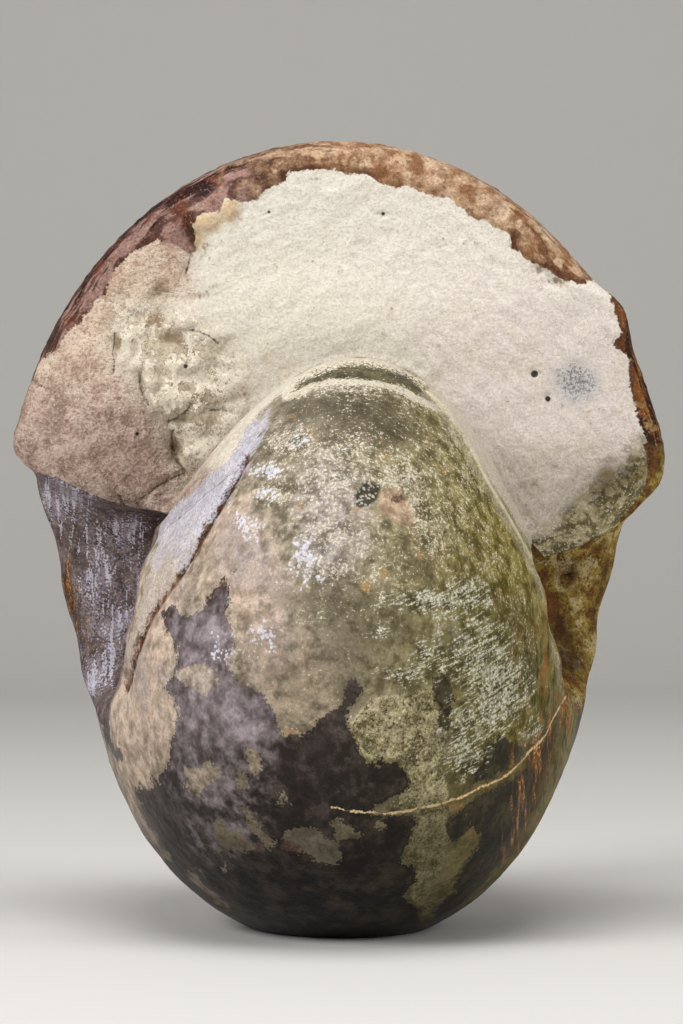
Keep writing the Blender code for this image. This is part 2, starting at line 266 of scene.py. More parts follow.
# The broken face, in pixels of the view
BARE_STONE = [
    (31, 376), (40, 361), (53, 349), (64, 338), (75, 328), (86, 315), (98, 298), (105, 291), (111, 272),
    (120, 262), (141, 247), (154, 242), (167, 237), (176, 243), (186, 249), (193, 250), (194, 233), (193, 224),
    (200, 213), (212, 211), (221, 214), (221, 201), (227, 194), (240, 200), (257, 199), (268, 190), (285, 181),
    (287, 169), (298, 171), (309, 166), (334, 168), (347, 173), (366, 173), (386, 181), (405, 186), (420, 189),
    (440, 198), (452, 201), (471, 214), (489, 224), (505, 231), (513, 245), (521, 251), (537, 263), (550, 270),
    (562, 281), (575, 284), (592, 281), (606, 286), (610, 298), (617, 318), (625, 336), (614, 342), (628, 360),
    (630, 380), (632, 400), (638, 420), (647, 440), (656, 460), (664, 473), (690, 480), (690, 640), (-20, 640),
    (-20, 380),
]
PINK_STONE = [
    (-40, 380), (0, 330), (50, 280), (80, 250), (110, 215), (150, 190), (192, 230), (188, 290), (160, 300),
    (120, 320), (118, 352), (140, 380), (160, 404), (172, 430), (184, 450), (212, 462), (226, 480), (180, 530),
    (120, 540), (0, 500),
]
CHIPPED = [
    (112, 300), (150, 296), (190, 316), (226, 340), (246, 380), (240, 430), (216, 466), (176, 478), (166, 440),
    (150, 404), (130, 372), (108, 346),
]
LUMPS = [
    (167, 404, 19, 14, 1.3), (197, 459, 19, 21, 1.4), (124, 338, 13, 26, 1.0), (183, 365, 17, 8, 0.9),
    (140, 434, 10, 8, 0.6), (212, 334, 22, 7, 0.6), (216, 392, 24, 9, 0.5), (150, 380, 9, 22, 0.7),
    (588, 520, 12, 16, 0.7), (622, 508, 20, 9, 0.6), (566, 540, 14, 8, 0.5), (206, 221, 13, 10, 0.8),
    (230, 207, 10, 11, 0.9), (300, 156, 16, 6, 0.5), (618, 330, 8, 8, 0.6),
]
# Brown grime in the chips, and painted shade in creases and along the dark band at the lower right corner
DIRT_AND_SHADE_SPOTS = [
    (172, 336, 18, 8, 1.0), (154, 322, 9, 12, 0.8), (176, 450, 6, 14, 1.0), (117, 342, 5, 14, 0.8),
    (160, 288, 7, 9, 0.8), (204, 296, 9, 6, 0.5), (186, 418, 10, 5, 0.7), (205, 250, 8, 14, 0.5),
    (142, 378, 4, 14, 0.5), (190, 470, 14, 5, 0.7), (245, 396, 14, 8, 0.3), (556, 468, 14, 6, 0.25),
    (626, 474, 26, 7, 0.8), (606, 488, 12, 8, 0.5), (598, 510, 8, 12, 0.4), (530, 500, 40, 30, 0.22),
    (190, 238, 12, 9, 0.7), (250, 196, 12, 5, 0.6), (185, 272, 8, 10, 0.45), (220, 350, 12, 6, 0.4),
    (540, 268, 10, 4, 0.7), (558, 280, 6, 5, 1.1), (548, 281, 9, 1.6, 0.9), (120, 300, 8, 8, 0.4),
]
FACE_CRACKS = [  # corners, whether it stands upright, and half its width in millimetres
    ([(137, 503), (144, 496), (150, 492), (157, 486), (166, 481), (178, 475), (184, 473)], False, 0.30),
    ([(169, 420), (176, 418), (182, 414), (187, 409), (191, 403)], False, 0.42),
    ([(172, 431), (172, 440), (174, 450), (178, 461), (183, 468)], True, 0.50),
    ([(119, 495), (120, 500), (124, 506), (127, 510)], True, 0.40),
    ([(30, 377), (34, 380), (38, 383), (43, 386)], False, 0.22),
    ([(115, 333), (114, 342), (112, 350), (114, 360), (113, 372)], True, 0.28),
    ([(140, 372), (140, 384), (143, 394), (148, 404)], True, 0.34),
    ([(190, 329), (199, 331), (208, 335), (217, 342)], False, 0.26),
    ([(204, 411), (212, 409), (222, 409), (231, 411)], False, 0.22),
    ([(194, 228), (193, 244), (189, 260), (186, 272)], True, 0.24),
]
FACE_PITS = [(534.6, 373, 3.6), (548, 398, 2.7), (185, 366, 2.1), (137, 433, 1.8), (383, 213, 1.8), (269, 211, 1.5)]
LOBE_FOOT = 474  # how far down the bare stone of the left lobe turns into its side

# Turns points so that waves on them run long from the upper left to the lower right
CREASES = np.array([[0.30, 0, 0.40], [0, 1, 0], [-0.16, 0, 0.92]])
BLUE_SPOT = (576, 381, 23, 21)
CREAM_KNOTS = [(206, 221, 15, 11), (230, 207, 11, 12), (302, 156, 16, 5), (377, 153, 9, 4), (196, 240, 8, 12)]


def smooth_step(value):
    """0 below 0, 1 above 1, and three times the square less twice the cube between."""
    value = np.clip(value, 0, 1)
    return value * value * (3 - 2 * value)


def bell(value):
    """e to the minus the square of the value."""
    return np.exp(-(value**2))


def waves(points, size, seed, octaves=3):
    """Sum of sine waves in random directions, each octave half as long and half as high, from -1 to 1."""
    random = np.random.default_rng(seed)
    total = np.zeros(points.shape[:-1])
    weight = 0.0
    for octave in range(octaves):
        for _ in range(7):
            direction = random.normal(size=3)
            direction *= TURN * 2**octave / size / np.linalg.norm(direction)
            total += np.sin(points @ direction + random.uniform(0, TURN)) * 0.5**octave
        weight += 0.5**octave
    return total / (weight * 2.6)


class Shell:
    """The coil's formulas, with the sizes that the panel holds."""

    def __init__(self, sizes):
        self.venter = sizes.venter_radius
        self.width = sizes.half_width
        self.shoulders = (sizes.shoulder_radius_left, sizes.shoulder_radius_right)
        self.expansion = sizes.whorl_expansion
        self.insets = (sizes.rim_inset_left, sizes.rim_inset_middle, sizes.rim_inset_right)
        self.axis_height = sizes.axis_height
        self.axis_forward = sizes.axis_forward

    def growth(self, angle):
        """The expansion per turn, to the power of the angle in turns."""
        return self.expansion ** (angle / TURN)

    def fullness(self, angle):
        """Goes in an even S from the early to the late value over the first half turn."""
        return FULLNESS_EARLY + (FULLNESS_LATE - FULLNESS_EARLY) * smooth_step((angle + TURN) / np.pi)

    def shoulder_offset(self, angle, right):
        """A cosine row of swellings that grow with the shell, plus one broad bell on each flank."""
        first = np.where(right, SWELLING_AT_RIGHT, SWELLING_AT_LEFT)
        swelling = SWELLING_HEIGHT * self.growth(angle) * np.cos(SWELLINGS_PER_TURN * (angle - first))
        flank = bell((angle + np.radians(85)) / np.radians(48))
        return swelling + flank * np.where(right, -RIGHT_FLANK_DENT, LEFT_FLANK_SWELL)

    def relief(self, angle, across):
        """Products of sines as long waves, plus a bell under the coil."""
        long_waves = np.sin(2.3 * angle + 1.1) * np.cos(2.1 * across + 0.4)
        long_waves = long_waves + 0.6 * np.sin(5.1 * angle) * np.sin(3.3 * across - 0.8)
        underside = bell((angle + np.pi) / np.radians(70)) * np.cos(across)
        return UNEVENNESS * long_waves * self.growth(angle) + UNDERSIDE_SWELL * underside

    def arch(self, angle, across):
        """With c the cosine of across: x is the sine times the root of (1 + fullness c) / (1 + c), and the
        distance from the coil axis runs from the shoulder at c = 0 to the crown at c = 1."""
        right = across > 0
        crown = np.cos(across)
        shoulder = np.where(right, self.shoulders[1], self.shoulders[0])
        spread = np.sin(across) * np.sqrt((1 + self.fullness(angle) * crown) / (1 + crown))
        x = self.width * spread * self.growth(angle)
        radius = (shoulder + (self.venter - shoulder) * crown) * self.growth(angle)
        lift = self.relief(angle, across) * smooth_step(crown / 0.25)
        x, radius = x + lift * np.sin(across), radius + lift * crown
        x = x + EARLY_OFFSET * (1 - smooth_step((angle + TURN) / np.radians(110))) * crown**0.5
        edge = bell((np.abs(across) - np.pi / 2) / np.radians(30))
        return x + np.sign(across) * self.shoulder_offset(angle, right) * edge, radius

    def umbilical_wall(self, angle, along, side):
        """A quarter of a superellipse from the seam on the whorl inside to the umbilical edge."""
        seam_x, seam_radius = self.arch(angle - TURN, side * SEAM)
        edge_x, edge_radius = self.arch(angle, side * np.pi / 2)
        at_end = smooth_step(1 + angle / WEDGE_LENGTH) * (side > 0)
        power = 2 / (WALL_FULLNESS + (WALL_FULLNESS_END - WALL_FULLNESS) * at_end)
        out = np.sin(along * np.pi / 2) ** power
        down = np.cos(along * np.pi / 2) ** power
        x = seam_x + (edge_x - seam_x) * out
        radius = edge_radius - (edge_radius - seam_radius) * down
        return x, radius - WEDGE_DROP * wedge(along) * at_end

    def rim_inset(self, angle, across):
        """A quarter of an ellipse over the last few degrees, deepest at the left, with a ragged edge."""
        left = smooth_step((-across - np.radians(8)) / np.radians(25))
        right = smooth_step((across - np.radians(5)) / np.radians(20))
        inset = self.insets[1] * (1 - left) * (1 - right) + self.insets[0] * left + self.insets[2] * right
        ragged = np.sin(23 * across + 0.7) + 0.7 * np.sin(41 * across + 2.0) + 0.5 * np.sin(67 * across)
        inset = inset + 0.35 * MM * ragged
        inset = inset * (1 - 0.8 * bell((across - BUMP_AT) / BUMP_SPREAD))
        share = np.clip(1 + angle / RIM_DEPTH, 0, 1)
        return inset * (1 - np.sqrt(1 - share**2))

    def rim_bump(self, angle, across):
        """A bell across the rim, which fades in over the last few degrees."""
        return BUMP_HEIGHT * bell((across - BUMP_AT) / BUMP_SPREAD) * smooth_step(1 + angle / np.radians(14))

    def on_coil(self, x, radius, angle):
        """Turns a section's points to their angle about the coil axis."""
        back = -radius * np.sin(angle) - self.axis_forward
        return np.stack([x, back, radius * np.cos(angle) + self.axis_height], axis=-1)


def wedge(along):
    """A straight fall from the seam outwards, with an even S where it leaves the seam."""
    return np.clip(1 - along / WEDGE_WIDTH, 0, 1) * smooth_step(along / 0.06)


def wall_steps():
    return np.linspace(0, 1, WALL_STEPS + 1) ** WALL_CROWDING


def coil_angles():
    """Angles of the last whorl's rows: fine at the front and at the broken end, coarser behind."""
    front = np.arange(-360, -192, FRONT_STEP)
    back = np.arange(front[-1] + FRONT_STEP, -14, BACK_STEP)
    end = np.linspace(back[-1] + BACK_STEP, 0, int(14 / END_STEP))
    return np.radians(np.concatenate([front, back, end]))


def whorl_grid(shell, angles):
    """The last whorl, one row at each angle: left wall, arch and right wall, less the worn rim."""
    angle = angles[:, None]
    along = wall_steps()[None, :]
    left_x, left_radius = shell.umbilical_wall(angle, along, -1)
    right_x, right_radius = shell.umbilical_wall(angle, along[:, ::-1], 1)
    across = np.linspace(-SEAM, SEAM, ARCH_STEPS + 1)[None, :]
    arch_x, arch_radius = shell.arch(angle, across)
    x = np.concatenate([left_x, arch_x, right_x], axis=1)
    radius = np.concatenate([left_radius, arch_radius, right_radius], axis=1)
    wall = np.full(along.shape, np.pi / 2)
    reach = np.concatenate([-wall, across, wall], axis=1)
    hold = np.concatenate([smooth_step(along), np.ones(across.shape), smooth_step(along[:, ::-1])], axis=1)
    shift = (shell.rim_bump(angle, reach) - shell.rim_inset(angle, reach)) * hold
    points = shell.on_coil(x + shift * np.sin(reach) * 0.8, radius + shift * np.cos(reach), angle)
    forward = WEDGE_REACH * wedge(along[:, ::-1]) * smooth_step(1 + angle / WEDGE_LENGTH)
    points[:, -along.shape[1]:, 1] -= forward
    return points, np.repeat(reach, len(angles), axis=0), np.repeat(angle, reach.shape[1], axis=1)


def ribbon_grid(shell, angles, side):
    """What shows of the inner whorls in one umbilicus, from each seam to the next."""
    earlier = np.concatenate([angles[:-1] - TURN * (INNER_WHORLS - k) for k in range(INNER_WHORLS)])
    earlier = np.append(earlier, -TURN)[:, None]
    x, radius = shell.umbilical_wall(earlier, wall_steps()[None, :], side)
    edge_x, edge_radius = shell.arch(earlier, side * SEAM)
    x, radius = np.append(x, edge_x, axis=1), np.append(radius, edge_radius, axis=1)
    return shell.on_coil(x, radius, earlier), earlier


def patch_weight(shell, points, centre, spread):
    """A bell of the distance from the centre in X and in height, each over its own spread."""
    off_x = (points[..., 0] - centre[0]) / spread[0]
    off_z = (points[..., 2] - shell.axis_height - centre[1]) / spread[1]
    return bell(np.sqrt(off_x**2 + off_z**2))


def face_grid(shell, inner, outer):
    """Straight lines from the whorl inside to the rim, pushed out and in by three bells."""
    steps = np.linspace(0, 1, FACE_STEPS + 1)[:, None, None]
    face = inner * (1 - steps) + outer * steps
    proud = LOBE_BULGE * patch_weight(shell, face, LOBE_CENTRE, LOBE_SPREAD)
    proud -= FACE_HOLLOW * patch_weight(shell, face, FACE_CENTRE, FACE_SPREAD)
    proud -= CORNER_FALL * patch_weight(shell, face, CORNER_CENTRE, CORNER_SPREAD)
    face[..., 1] -= proud * np.sin(steps[..., 0] * np.pi) ** 0.6
    return face


class Skin:
    """Collects grids of points into one surface, whose doubles are merged at the end."""

    def __init__(self):
        self.points, self.faces, self.values, self.count = [], [], [], 0

    def add(self, points, flip=False, **values):
        """Adds a grid and the quads between its points, with one value of each name per point."""
        rows, columns = points.shape[:2]
        index = np.arange(rows * columns).reshape(rows, columns) + self.count
        quads = np.stack([index[:-1, :-1], index[:-1, 1:], index[1:, 1:], index[1:, :-1]], axis=-1)
        quads = quads.reshape(-1, 4)
        self.faces.append(quads[:, ::-1] if flip else quads)
        self.points.append(points.reshape(-1, 3))
        full = {name: np.broadcast_to(value, (rows, columns)).reshape(-1) for name, value in values.items()}
        self.values.append(full)
        self.count += rows * columns
        return index

    def add_fan(self, loop, points, **values):
        """Closes a loop of point numbers with triangles to its middle."""
        middle = points.mean(axis=0)
        self.points.append(middle[None])
        self.values.append({name: np.array([value]) for name, value in values.items()})
        centre = np.full(len(loop) - 1, self.count)
        self.faces.append(np.stack([loop[:-1], loop[1:], centre, centre], axis=-1))
        self.count += 1

    def merged(self):
        """Points at the same place become one. Quads that lose a corner become triangles."""
        points = np.concatenate(self.points)
        names = self.values[0].keys()
        values = {name: np.concatenate([part[name] for part in self.values]) for name in names}
        keys = np.round(points / (2e-7)).astype(np.int64)
        _, first, number = np.unique(keys, axis=0, return_index=True, return_inverse=True)
        faces = number.reshape(-1)[np.concatenate(self.faces)]
        return points[first], faces, {name: value[first] for name, value in values.items()}


def split_faces(faces):
    """Quads with four different corners, and the triangles that the others leave."""
    same = faces == np.roll(faces, -1, axis=1)
    quads = faces[~same.any(axis=1)]
    rest, same = faces[same.sum(axis=1) == 1], same[same.sum(axis=1) == 1]
    triangles = rest[~same].reshape(-1, 3)
    return quads, triangles


def vertex_normals(points, quads, triangles):
    """The sum of the cross products of the diagonals or sides of each face round a point, made unit."""
    normals = np.zeros_like(points)
    a, b, c, d = (points[quads[:, k]] for k in range(4))
    cross_quads = np.cross(c - a, d - b)
    a, b, c = (points[triangles[:, k]] for k in range(3))
    cross_tris = np.cross(b - a, c - a)
    for corner in range(4):
        np.add.at(normals, quads[:, corner], cross_quads)
    for corner in range(3):
        np.add.at(normals, triangles[:, corner], cross_tris)
    return normals / np.maximum(np.linalg.norm(normals, axis=1, keepdims=True), 1e-12)


def front_view(shell, points):
    """Where points are in the camera's view, in pixels: offset over depth, times the scale."""
    camera = camera_place(shell)
    depth = points[:, 1] - camera[1]
    right = VIEW_WIDTH / 2 + (points[:, 0] - camera[0]) * VIEW_DISTANCE / depth / PIXEL
    down = VIEW_HEIGHT / 2 - (points[:, 2] - camera[2]) * VIEW_DISTANCE / depth / PIXEL
    return right, down


def camera_place(shell):
    x = (VIEW_WIDTH / 2 - AXIS_PIXEL[0]) * PIXEL
    z = shell.axis_height + (AXIS_PIXEL[1] - VIEW_HEIGHT / 2) * PIXEL
    return np.array([x, -shell.axis_forward - VIEW_DISTANCE, z])


def inside_outline(right, down, outline):
    """Distance to the nearest edge of a closed outline in millimetres, more than 0 inside it."""
    corners = np.array(outline, dtype=float)
    nearest = np.full(right.shape, 1e9)
    inside = np.zeros(right.shape, dtype=bool)
    for (x0, y0), (x1, y1) in zip(corners, np.roll(corners, -1, axis=0)):
        nearest = np.minimum(nearest, to_segment(right, down, x0, y0, x1, y1))
        crosses = (y0 > down) != (y1 > down)
        height = np.where(y1 == y0, 1e-9, y1 - y0)
        inside ^= crosses & (right < (x1 - x0) * (down - y0) / height + x0)
    return np.where(inside, nearest, -nearest) * PIXEL / MM


def to_segment(right, down, x0, y0, x1, y1):
    """Distance in pixels to the nearest point of a straight piece, whose share along it is clipped."""
    length = (x1 - x0) ** 2 + (y1 - y0) ** 2
    share = np.clip(((right - x0) * (x1 - x0) + (down - y0) * (y1 - y0)) / length, 0, 1)
    return np.hypot(right - x0 - share * (x1 - x0), down - y0 - share * (y1 - y0))


def beside_line(right, down, line):
    """Distance to an open line in millimetres, more than 0 on its right and less on its left."""
    nearest = np.full(right.shape, 1e9)
    side = np.ones(right.shape)
    for (x0, y0), (x1, y1) in zip(line[:-1], line[1:]):
        distance = to_segment(right, down, x0, y0, x1, y1)
        turn = np.sign((x1 - x0) * (down - y0) - (y1 - y0) * (right - x0))
        closer = distance < nearest - 1e-6
        side = np.where(closer, turn, side)
        nearest = np.minimum(nearest, distance)
    return nearest * side * PIXEL / MM


def in_spot(right, down, spot):
    """An ellipse's depth in millimetres: one less the scaled distance, times the shorter radius."""
    x, y, radius_x, radius_y = spot[:4]
    off = np.hypot((right - x) / radius_x, (down - y) / radius_y)
    return (1 - off) * min(radius_x, radius_y) * PIXEL / MM


def soft_spots(right, down, spots):
    """One less the product of (1 - height times bell) over all spots."""
    left_over = np.ones(right.shape)
    for x, y, radius_x, radius_y, height in spots:
        left_over *= 1 - height * bell(np.hypot((right - x) / radius_x, (down - y) / radius_y))
    return 1 - left_over


def most(*depths):
    return np.maximum.reduce(depths)


# The parts of the skin, and the bounds of its fields
FACE, ARCH, LEFT_WALL, RIGHT_WALL = 0, 1, 2, 3
FAR = 8  # the most millimetres that a field gives on either side of an outline
END_REACH = np.radians(25)  # how far behind the broken end its stains go
FRONT_FROM = np.radians(170)  # how far behind the broken end the front whorl begins


def seen_from_front(normals):
    """1 where the skin faces the camera, and an even S down to 0 where it turns away."""
    return smooth_step((0.12 - normals[:, 1]) / 0.3)


def whorl_fields(points, right, down, front):
    """Stains of the whorls, with painted shadow and painted sheen: from outlines where the camera sees them, and
    from long waves elsewhere.
    """

    def outline(*shapes):
        return most(*[inside_outline(right, down, shape) for shape in shapes])

    def both(seen, unseen):
        return np.clip(seen * front + unseen * (1 - front), -FAR, FAR)

    def spots(table, unseen=0.0):
        return np.clip(both(soft_spots(right, down, table), unseen), 0, 1)

    dark = np.minimum(outline(DARK_SKIN, *DARK_PATCHES), -outline(*ISLANDS))
    patches = 7 * waves(points, 62 * MM, 41, 2) - 1.2
    return {
        "dark": both(dark, patches),
        "crumbled": both(outline(*CRUMBLED), -FAR),
        "shadowed_ledge": both(outline(SHADOWED_LEDGE), -FAR),
        "band": both(outline(LEFT_BAND), -FAR),
        "scar": both(outline(SCAR), -FAR),
        "black_scar": both(outline(BLACK_SCAR), -FAR),
        "spot": both(most(*[in_spot(right, down, spot) for spot in DARK_SPOTS]), -FAR),
        "ochre": both(
            most(*[in_spot(right, down, spot) for spot in OCHRE_SPOTS]), 2 * waves(points, 15 * MM, 45, 2) - 2.4
        ),
        "strokes": spots(STROKE_SPOTS),
        "pale": spots(PALE_SPOTS, 0.35 * smooth_step(waves(points, 34 * MM, 42, 2))),
        "chalk": spots(CHALK_SPOTS, 0.35 * smooth_step(waves(points, 40 * MM, 43, 2) * 2 - 0.9)),
        "warm": spots(WARM_SPOTS, 0.55 + 0.5 * waves(points, 70 * MM, 44, 2)),
        "haze_and_sheen": spots(HAZE_AND_SHEEN_SPOTS, 0.2),
        "shade": spots(SHADE_SPOTS, 0.35 + 0.4 * waves(points, 30 * MM, 46, 2)),
        "sheen_and_mottle": spots(PAINTED_SHEEN_SPOTS, 0.35 + 0.5 * waves(points, 36 * MM, 47, 2)),
        "ridge": both(beside_line(right, down, SEAM_RIDGE), FAR),
    }


def stain_fields(shell, points, normals, region, across, angle):
    """All fields of the skin, one number per point."""
    right, down = front_view(shell, points)
    seen = seen_from_front(normals)
    on_face, on_arch, on_wall = region == FACE, region == ARCH, region >= LEFT_WALL
    free = inside_outline(right, down, FREE_WHORL)
    front = seen * np.where(on_face, smooth_step(free / 2 + 1), on_arch & (angle < -FRONT_FROM))
    fields = whorl_fields(points, right, down, front)
    near_end = on_face | (on_arch & (angle > -END_REACH))
    bare = np.where(near_end, inside_outline(right, down, BARE_STONE) - FAR * (1 - seen), -FAR)
    bare = np.where(on_face, np.minimum(bare, -free), bare)
    lobe_side = (region == LEFT_WALL) & (angle > -END_REACH) & (angle <= 0)
    bare = np.where(lobe_side, (LOBE_FOOT - down) * PIXEL / MM, bare)
    beside_seam = 4 * smooth_step(1 - (angle + TURN) / np.radians(38)) * smooth_step((across - 0.4) / 0.6)
    lapped = np.maximum(-free - FAR * (1 - seen), beside_seam - 2)
    bare = np.where(on_arch & (angle < -FRONT_FROM), lapped, bare)
    off_face = np.where(near_end | lobe_side | (bare > -2), 0, -FAR)
    hole_and_shadow = most(*[in_spot(right, down, spot) for spot in HOLES_AND_SHADOW]) + np.where(on_wall & (seen > 0.3), 0, -FAR)
    rust = most(*[inside_outline(right, down, outline) for outline in RUSTY]) - FAR * (1 - seen)
    fields.update({
        "front": front,
        "face": on_face * 1.0,
        "wall": on_wall * 1.0,
        "bare": np.clip(bare, -FAR, FAR),
        "pink": np.clip(inside_outline(right, down, PINK_STONE) + off_face, -FAR, FAR),
        "chipped": np.clip(inside_outline(right, down, CHIPPED) + off_face, -FAR, FAR),
        "dirt_and_shade": soft_spots(right, down, DIRT_AND_SHADE_SPOTS) * near_end,
        "cream": np.clip(most(*[in_spot(right, down, spot) for spot in CREAM_KNOTS]) + off_face, -FAR, FAR),
        "blue": np.clip(in_spot(right, down, BLUE_SPOT) + off_face, -FAR, FAR),
        "hole_and_shadow": np.clip(hole_and_shadow, -FAR, FAR),
        "rust": np.clip(np.where(on_face, -FAR, rust), -FAR, FAR),
        "hollow_chalk": soft_spots(right, down, HOLLOW_CHALK) * seen * on_wall,
        "hollow_shade_and_stain": soft_spots(right, down, HOLLOW_SHADE_AND_STAINS) * seen * on_wall,
        "sideways": (right - AXIS_PIXEL[0]) * PIXEL / MM,
        "height": (AXIS_PIXEL[1] - down) * PIXEL / MM,
        "across": across,
        "along": angle,
    })
    return fields


def fine_relief(shell, points, region, angle, fields):
    """Heights in metres to push each point along its normal: chips, lumps, pits, cracks and crusts."""
    right, down = front_view(shell, points)
    lift = 0.10 * MM * waves(points, 9 * MM, 11) + 0.04 * MM * waves(points, 2.6 * MM, 12)
    near_end = (region == FACE) | ((region == ARCH) & (angle > -END_REACH))
    lumps = np.zeros(right.shape)
    for x, y, radius_x, radius_y, height in LUMPS:
        off = np.hypot((right - x) / radius_x, (down - y) / radius_y)
        lumps = np.maximum(lumps, height * MM * smooth_step((1.15 - off) / 0.55))
    chips = smooth_step(fields["chipped"] / 4 + 0.5)
    drawn_out = points @ CREASES
    blocks = np.abs(waves(drawn_out, 9 * MM, 23)) * 1.4 * MM - np.abs(waves(drawn_out, 3.6 * MM, 24)) * 0.7 * MM
    cracks = [np.abs(beside_line(right, down, corners)) / width for corners, _, width in FACE_CRACKS]
    crack = -0.6 * MM * bell(np.minimum.reduce(cracks) / 1.8)
    pits = most(*[in_spot(right, down, (x, y, radius, radius)) for x, y, radius in FACE_PITS])
    crack = crack - 0.9 * MM * smooth_step(pits / 0.5 + 0.6)
    hole_and_shadow = -1.3 * MM * smooth_step(fields["hole_and_shadow"] / 0.5 + 0.4)
    inner = smooth_step(fields["bare"] / 1.2 + 0.3)
    rough = 0.16 * MM * waves(points, 7 * MM, 21) + 0.10 * MM * waves(points, 2.4 * MM, 22)
    crust = 0.25 * MM * np.abs(waves(points, 3.4 * MM, 25)) * smooth_step(0.5 - fields["bare"] / 2)
    face_lift = (rough + chips * blocks + crack - 0.9 * MM * fields["dirt_and_shade"]) * inner + crust
    lift = np.where(near_end, face_lift + lumps, lift) + hole_and_shadow
    step = -0.35 * MM * smooth_step(fields["shadowed_ledge"] / 0.8 + 0.5)
    step = step + 0.5 * MM * smooth_step(fields["bare"] / 0.9 + 0.5)
    ridge = 0.30 * MM * bell((fields["ridge"] + 0.3) / 0.5) + 0.25 * MM * bell((fields["ridge"] + 1.7) / 0.5)
    groove = -0.9 * MM * bell(beside_line(right, down, GROOVE) / 0.9)
    black = -0.5 * MM * smooth_step(fields["black_scar"] / 1.2 + 0.5)
    scar = -0.3 * MM * smooth_step(fields["scar"] / 0.8 + 0.5) - 0.4 * MM * smooth_step(fields["spot"] / 0.8 + 0.4)
    crust = 0.24 * MM * waves(points, 2.4 * MM, 31, 2) * smooth_step(fields["crumbled"] / 2 + 0.5)
    chip = 0.10 * MM * smooth_step(fields["dark"] / 1.0 + 0.5)
    front = fields["front"]
    lift = lift + front * (step + ridge + groove + black + scar + crust + chip)
    return lift * smooth_step(points[:, 2] / (6 * MM))


def skin_surface(shell):
    """The whole closed skin as points, quads, triangles and fields."""
    angles = coil_angles()
    whorl, across, angle = whorl_grid(shell, angles)
    wall = WALL_STEPS + 1
    region = np.full(whorl.shape[1], ARCH)
    region[:wall], region[-wall:] = LEFT_WALL, RIGHT_WALL
    skin = Skin()
    inner = whorl[0].copy()
    inner[:wall], inner[-wall:] = inner[wall], inner[-wall - 1]
    face = face_grid(shell, inner, whorl[-1])
    skin.add(face, True, region=FACE, across=across[-1], angle=0.0)
    skin.add(whorl, False, region=region, across=across, angle=angle)
    for side, name in ((-1, LEFT_WALL), (1, RIGHT_WALL)):
        ribbon, earlier = ribbon_grid(shell, angles, side)
        index = skin.add(ribbon, side > 0, region=name, across=side * np.pi / 2, angle=earlier)
        turn = len(angles) - 1
        loop = np.concatenate([index[: turn + 1, 0], index[0, ::-1][1:]])
        places = np.concatenate([ribbon[: turn + 1, 0], ribbon[0, ::-1][1:]])
        loop = loop if side < 0 else loop[::-1]
        skin.add_fan(loop, places, region=name, across=side * np.pi / 2, angle=-3.0 * TURN)
    points, faces, values = skin.merged()
    quads, triangles = split_faces(faces)
    if volume(points, quads, triangles) < 0:
        quads, triangles = quads[:, ::-1], triangles[:, ::-1]
    normals = vertex_normals(points, quads, triangles)
    fields = stain_fields(shell, points, normals, **values)
    lift = fine_relief(shell, points, values["region"], values["angle"], fields)
    points = points + normals * lift[:, None]
    points[:, 2] = np.maximum(points[:, 2], 0)
    return keep_inside(points, *CAD_BOX), quads, triangles, fields


def keep_inside(points, low, high):
    """Where a side of the points' box lies outside the given one, the points move to it in proportion."""
    least, greatest = points.min(axis=0), points.max(axis=0)
    low, high = np.maximum(least, low), np.minimum(greatest, high)
    return low + (points - least) * (high - low) / (greatest - least)


def volume(points, quads, triangles):
    """A sixth of the sum of triple products over all triangles."""
    corners = np.concatenate([triangles, quads[:, [0, 1, 2]], quads[:, [0, 2, 3]]])
    a, b, c = (points[corners[:, k]] for k in range(3))
    return np.einsum("ij,ij->i", a, np.cross(b, c)).sum() / 6


def mesh_from(name, points, quads, triangles, fields):
    """Puts the arrays into a smooth mesh, with each field as a point attribute."""
    mesh = bpy.data.meshes.new(name)
    mesh.vertices.add(len(points))
    mesh.vertices.foreach_set("co", points.astype(np.float32).ravel())
    corners = np.concatenate([quads.ravel(), triangles.ravel()])
    starts = np.concatenate([np.arange(len(quads)) * 4, len(quads) * 4 + np.arange(len(triangles)) * 3])
    mesh.loops.add(len(corners))
    mesh.loops.foreach_set("vertex_index", corners.astype(np.int32))
    mesh.polygons.add(len(starts))
    mesh.polygons.foreach_set("loop_start", starts.astype(np.int32))
    mesh.update(calc_edges=True)
    if mesh.validate():
        raise RuntimeError("the skin had faces that Blender had to mend")
    for field, values in fields.items():
        layer = mesh.attributes.new(field, "FLOAT", "POINT")
        layer.data.foreach_set("value", np.asarray(values, dtype=np.float32))
    mesh.shade_smooth()
    return mesh


def srgb(red, green, blue):
    """Screen values of 0 to 255 as linear light, by the usual curve."""
    value = np.array([red, green, blue]) / 255
    return tuple(float(v) for v in np.where(value <= 0.04045, value / 12.92, ((value + 0.055) / 1.055) ** 2.4))


